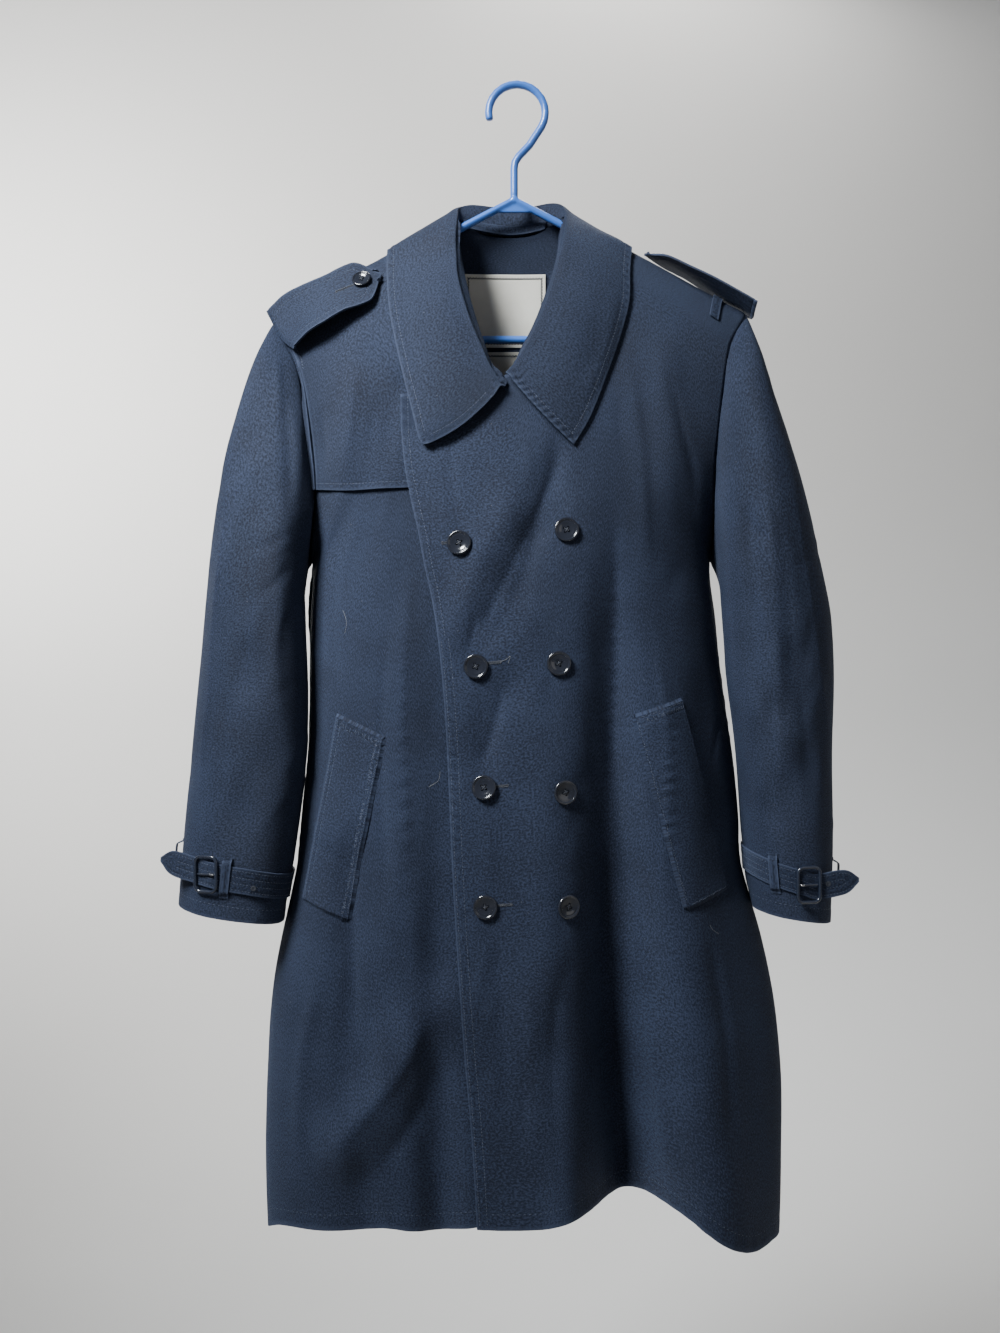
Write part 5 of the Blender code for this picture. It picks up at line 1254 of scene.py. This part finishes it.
thread = {"seamRadius": 0.21, "seamLift": 0.06, "satinRadius": 0.34, "satinLift": 0.12, "slitRadius": 0.32,
          "slitLift": 0.18, "zigzagRadius": 0.5, "zigzagLift": 0.3, "strandLift": 0.25, "rowStep": 0.8,
          "pitchRange": (0.94, 1.06), "satinRange": (0.9, 1.1), "zigzagInsets": (3.2, 5.4), "zigzagStride": 2}
stitchRows = (
    # pieces, sides, insets, from, to, length, pitch (millimetres)
    ("front_over", "left", (3, 10.5), 0, 0.70, 2.3, 3.4),
    ("front_over", "left", (7.5,), 0.70, 1, 2.3, 3.4),
    ("front_over front_under back", "low", (16,), 0.02, 0.98, 2.0, 5.2),
    ("storm_flap", "low", (6.5,), 0.02, 0.98, 2.3, 3.4),
    ("storm_flap", "left", (5,), 0.02, 0.98, 2.3, 3.6),
    ("collar", "low", (7.5,), 0.01, 0.99, 2.3, 3.4),
    ("collar", "left right", (7.5,), 0.02, 0.60, 2.3, 3.4),
    ("sleeve_left sleeve_right", "low", (14,), 0, 1, 2.0, 5.0),
    ("pocket_welt_left", "left right", (2, 7.5), 0.02, 0.98, 2.2, 3.4),
    ("pocket_welt_left", "high", (8,), 0.04, 0.96, 2.2, 3.4),
    ("pocket_welt_right", "left", (2,), 0.02, 0.98, 2.2, 3.4),
    ("pocket_welt_right", "high", (2, 8), 0.04, 0.96, 2.2, 3.4),
    ("pocket_welt_right", "low", (2,), 0.04, 0.96, 2.2, 3.4),
    ("shoulder_strap_left", "low high", (9.5,), 0, 0.96, 2.3, 3.4),
    ("shoulder_strap_right", "low high", (9.5,), 0.04, 1, 2.3, 3.4),
    *(("cuff_strap_" + hand, side, (inset,), start, end, 2.2, 3.3)
      for hand, spans in (("left", ((3, 0.03, 0.99), (9.5, 0.04, 0.99))),
                          ("right", ((3, 0.01, 0.97), (9.5, 0.01, 0.96))))
      for side in ("low", "high") for inset, start, end in spans),
)


def rowAlong(surface, run, inset):
    # the side's own line moved inwards over the cloth, with the cloth's direction at each place
    path, _ = densePath(run, thread["rowStep"] * mm)
    spots = []
    for place, way in zip(path, np.gradient(path, axis=0)):
        _, normal, _, _ = surface.find_nearest(Vector(place))
        spots.append((Vector(place), normal.cross(Vector(way).normalized()).normalized() * inset))
    # the way inwards is the one that stays nearer the cloth
    sign = min((1, -1), key=lambda sign: sum(surface.find_nearest(place + inward * sign)[3]
                                             for place, inward in spots[::12]))
    return [surface.find_nearest(place + inward * sign)[:2] for place, inward in spots]


def sewRow(stitches, surface, run, inset, start, end, length, pitch):
    row = rowAlong(surface, run, inset * mm)
    places = np.array([place for place, _ in row])
    steps = np.concatenate([[0], np.cumsum(np.linalg.norm(np.diff(places, axis=0), axis=1))])
    at = start * steps[-1] + pitch * mm
    while at < end * steps[-1]:
        i, j = (min(int(np.searchsorted(steps, value)), len(row) - 1) for value in (at, at + length * mm))
        if i < j:
            addThread(stitches, row[i][0], row[j][0], thread["seamRadius"] * mm, row[i][1] * thread["seamLift"] * mm)
        at += pitch * mm * dice.uniform(*thread["pitchRange"])


seams = []
for pieces, ways, insets, *measures in stitchRows:
    for name, side, inset in product(pieces.split(), ways.split(), insets):
        sewRow(seams, made[name]["surface"], made[name]["runs"][side], inset, *measures)


# buttonholes worked round a slit, and eyelets in the cuff straps; each slit and each eyelet hole is a dark bead,
# painted shade of the opening

holes = {
    "pitch": 0.75, "reach": 1.5, "endSteps": 8, "endReach": 1.9, "slitHalf": 0.25,
    "rows": (
        # carrier, end by the button, far end (seen from the front)
        ("front_over", (-0.0549, -0.4853), (-0.0734, -0.4853)),
        ("front_over", (-0.0393, -0.6034), (-0.0178, -0.6014)),
        ("front_over", (-0.0324, -0.7234), (-0.0110, -0.7214)),
        ("front_over", (-0.0315, -0.8395), (-0.0071, -0.8375)),
        ("shoulder_strap_left", (-0.1640, -0.2130), (-0.1850, -0.2215)),
    ),
}
slitShades, satin, zigzag = [], [], []


def onCloth(name, x, z):
    # the place and direction on the cloth straight behind a point seen from the front
    return made[name]["surface"].ray_cast(Vector((x, -0.4, z)), behind)[:2]


for carrier, near, far in holes["rows"]:
    radius, satinLift = thread["satinRadius"] * mm, thread["satinLift"] * mm
    steps = int(math.dist(near, far) / (holes["pitch"] * mm))
    along = Vector((far[0] - near[0], 0, far[1] - near[1])).normalized()
    aside = Vector((-along.z, 0, along.x))
    for step in range(steps + 1):
        share = step / steps
        place, normal = onCloth(carrier, near[0] + (far[0] - near[0]) * share, near[1] + (far[1] - near[1]) * share)
        for sign in (-1, 1):
            start = place + aside * holes["slitHalf"] * sign * mm
            end = place + aside * holes["reach"] * sign * mm * dice.uniform(*thread["satinRange"])
            addThread(satin, start, end, radius, normal * satinLift)
    first, slitNormal = onCloth(carrier, *near)
    last, endNormal = onCloth(carrier, *far)
    for step in range(holes["endSteps"] + 1):
        angle = math.pi * (step / holes["endSteps"] - 0.5)
        out = along * math.cos(angle) + aside * math.sin(angle)
        addThread(satin, last + out * 0.3 * mm, last + out * holes["endReach"] * mm, radius, endNormal * satinLift)
    # the slit is a dark bead laid along it: painted shade of the opening
    addThread(slitShades, first, last, thread["slitRadius"] * mm, slitNormal * thread["slitLift"] * mm)

eyelet = {"radius": 1.5, "depth": 0.25, "stitches": 18, "start": 1.3, "end": 2.9, "threadRadius": 0.36,
          "places": (("cuff_strap_left", -0.2880, -0.8165), ("cuff_strap_left", -0.2620, -0.8255),
                     ("cuff_strap_right", 0.3080, -0.8215))}
for name, x, z in eyelet["places"]:
    place, normal = onCloth(name, x, z)
    seat = Matrix.Translation(place) @ normal.to_track_quat("Z", "Y").to_matrix().to_4x4()
    radius = eyelet["radius"] * mm
    # the eyelet's hole is a flat dark disc: painted shade of the opening
    slitShades.append(seat @ Matrix.Diagonal((radius, radius, eyelet["depth"] * mm, 1)))
    for step in range(eyelet["stitches"]):
        angle = 2 * math.pi * step / eyelet["stitches"]
        out = Vector((math.cos(angle), math.sin(angle), 0.06))
        addThread(satin, seat @ (out * eyelet["start"] * mm), seat @ (out * eyelet["end"] * mm),
                  eyelet["threadRadius"] * mm)

# zigzag round the labels
stride = thread["zigzagStride"]
for name in labels:
    for side in sideNames:
        outer, inner = (rowAlong(made[name]["surface"], made[name]["runs"][side], inset * mm)
                        for inset in thread["zigzagInsets"])
        for i in range(4, len(outer) - 4 - stride, 2 * stride):
            (a, up), (b, _), (c, _) = outer[i], inner[i + stride], outer[i + 2 * stride]
            for start, end in ((a, b), (b, c)):
                addThread(zigzag, start, end, thread["zigzagRadius"] * mm, up * thread["zigzagLift"] * mm)

# lint and the loose ends of thread
hairs = bmesh.new()
strands = (
    # carrier, radius and places seen from the front, in millimetres
    ("front_under", 0.10, ((-174.8, -549.3), (-170.8, -561.3), (-172.8, -573.3))),
    ("front_under", 0.11, ((-76.2, -708.3), (-78.2, -717.2), (-87.1, -723.1))),
    ("front_over", 0.10, ((196.1, -823.1), (202.0, -827.1), (207.0, -831.0))),
    ("front_over", 0.10, ((189.1, -860.8), (192.1, -865.7), (199.0, -870.7))),
    ("front_over", 0.12, ((-17.8, -601.4), (-12.0, -599.0), (-8.0, -596.0), (-10.0, -603.0))),
)
for carrier, radius, spots in strands:
    hits = [onCloth(carrier, x, z) for x, z in throughPoints(np.array(spots) * mm, np.linspace(0, 1, 15))]
    points = [place + normal * thread["strandLift"] * mm for place, normal in hits]
    tubeThrough(hairs, points, [radius * mm] * len(points), 5)

for name, beads, material, slot in (
        ("seam_stitches", threadBeads(seams), navyThread, "trim_cloth"),
        ("buttonhole_stitches", threadBeads(satin), darkThreadAndShade, "trim_cloth"),
        ("buttonhole_slits", threadBeads(slitShades), darkThreadAndShade, "trim_cloth"),
        ("button_ties", threadBeads(ties), darkThreadAndShade, "trim_cloth"),
        ("label_zigzag", threadBeads(zigzag), greyThread, "label_cloth"),
        ("lint_and_ends", hairs, lintWhite, "trim_cloth")):
    bmesh.ops.recalc_face_normals(beads, faces=beads.faces[:])
    settle(addObject(name, beads, material), slot)
print("stitches, buttonholes and ties sewn")


# stage, light and camera

studio = {"floor": -1.9, "wall": 2.6, "sweep": 1.2, "sweepSteps": 24, "width": 9.0, "front": -6.0, "top": 3.6}


def addStage():
    side, sweep = -studio["width"] / 2, studio["sweep"]
    turns = [math.radians(90 * step / studio["sweepSteps"]) for step in range(studio["sweepSteps"] + 1)]
    spots = [(studio["front"], studio["floor"]),
             *((studio["wall"] - sweep + sweep * math.sin(turn), studio["floor"] + sweep - sweep * math.cos(turn))
               for turn in turns),
             (studio["wall"], studio["top"])]
    bm = bmesh.new()
    path = [bm.verts.new((side, y, z)) for y, z in spots]
    edges = [bm.edges.new(pair) for pair in zip(path, path[1:])]
    grown = bmesh.ops.extrude_edge_only(bm, edges=edges)["geom"]
    bmesh.ops.translate(bm, verts=[item for item in grown if isinstance(item, bmesh.types.BMVert)],
                        vec=(studio["width"], 0, 0))
    paper = noiseMaterial("studio paper", 1.3, (0.66, 0.66, 0.65), (0.72, 0.72, 0.71), {"Roughness": 0.9})
    addObject("backdrop", bm, paper)


def addLight(name, place, target, size, power, colour, spread=180):
    lamp = bpy.data.lights.new(name, "AREA")
    lamp.shape = "RECTANGLE"
    lamp.size, lamp.size_y = size
    lamp.energy = power
    lamp.color = colour
    lamp.spread = math.radians(spread)
    light = bpy.data.objects.new(name, lamp)
    light.location = place
    light.rotation_euler = (Vector(target) - Vector(place)).to_track_quat("-Z", "Y").to_euler()
    bpy.context.scene.collection.objects.link(light)


addStage()
# name, place, target, size, watts, colour and spread in degrees
addLight("window", (-1.12, -1.12, 0.86), (-0.20, -0.05, -0.34), (0.6, 0.8), 17, (0.93, 0.97, 1.0), 64)
addLight("room", (2.6, -2.6, 0.2), (0.1, 0, -0.6), (2.2, 2.2), 9, (1.0, 0.96, 0.90))
addLight("behind", (0.5, 2.3, 1.95), (0.0, 0.0, -0.6), (1.4, 0.7), 50, (1.0, 0.98, 0.95))
addLight("wall wash", (-2.6, 0.7, 0.5), (-0.9, 2.6, 0.2), (1.0, 1.2), 85, (1.0, 0.99, 0.97), 105)
world = bpy.data.worlds.new("soft room")
world.use_nodes = True
setInputs(world.node_tree, world.node_tree.nodes["Background"], {"Color": (0.90, 0.93, 1.0), "Strength": 0.19})
bpy.context.scene.world = world

view = {"place": (-0.0178, -1.31, -0.6058), "lens": 33.76, "sensor": 36.0}
camera = bpy.data.objects.new("camera", bpy.data.cameras.new("camera"))
camera.data.sensor_width = view["sensor"]
camera.data.lens = view["lens"]
camera.location = view["place"]
camera.rotation_euler = (math.radians(90), 0, 0)
bpy.context.scene.collection.objects.link(camera)
bpy.context.scene.camera = camera
print("stage, lights and camera ready")
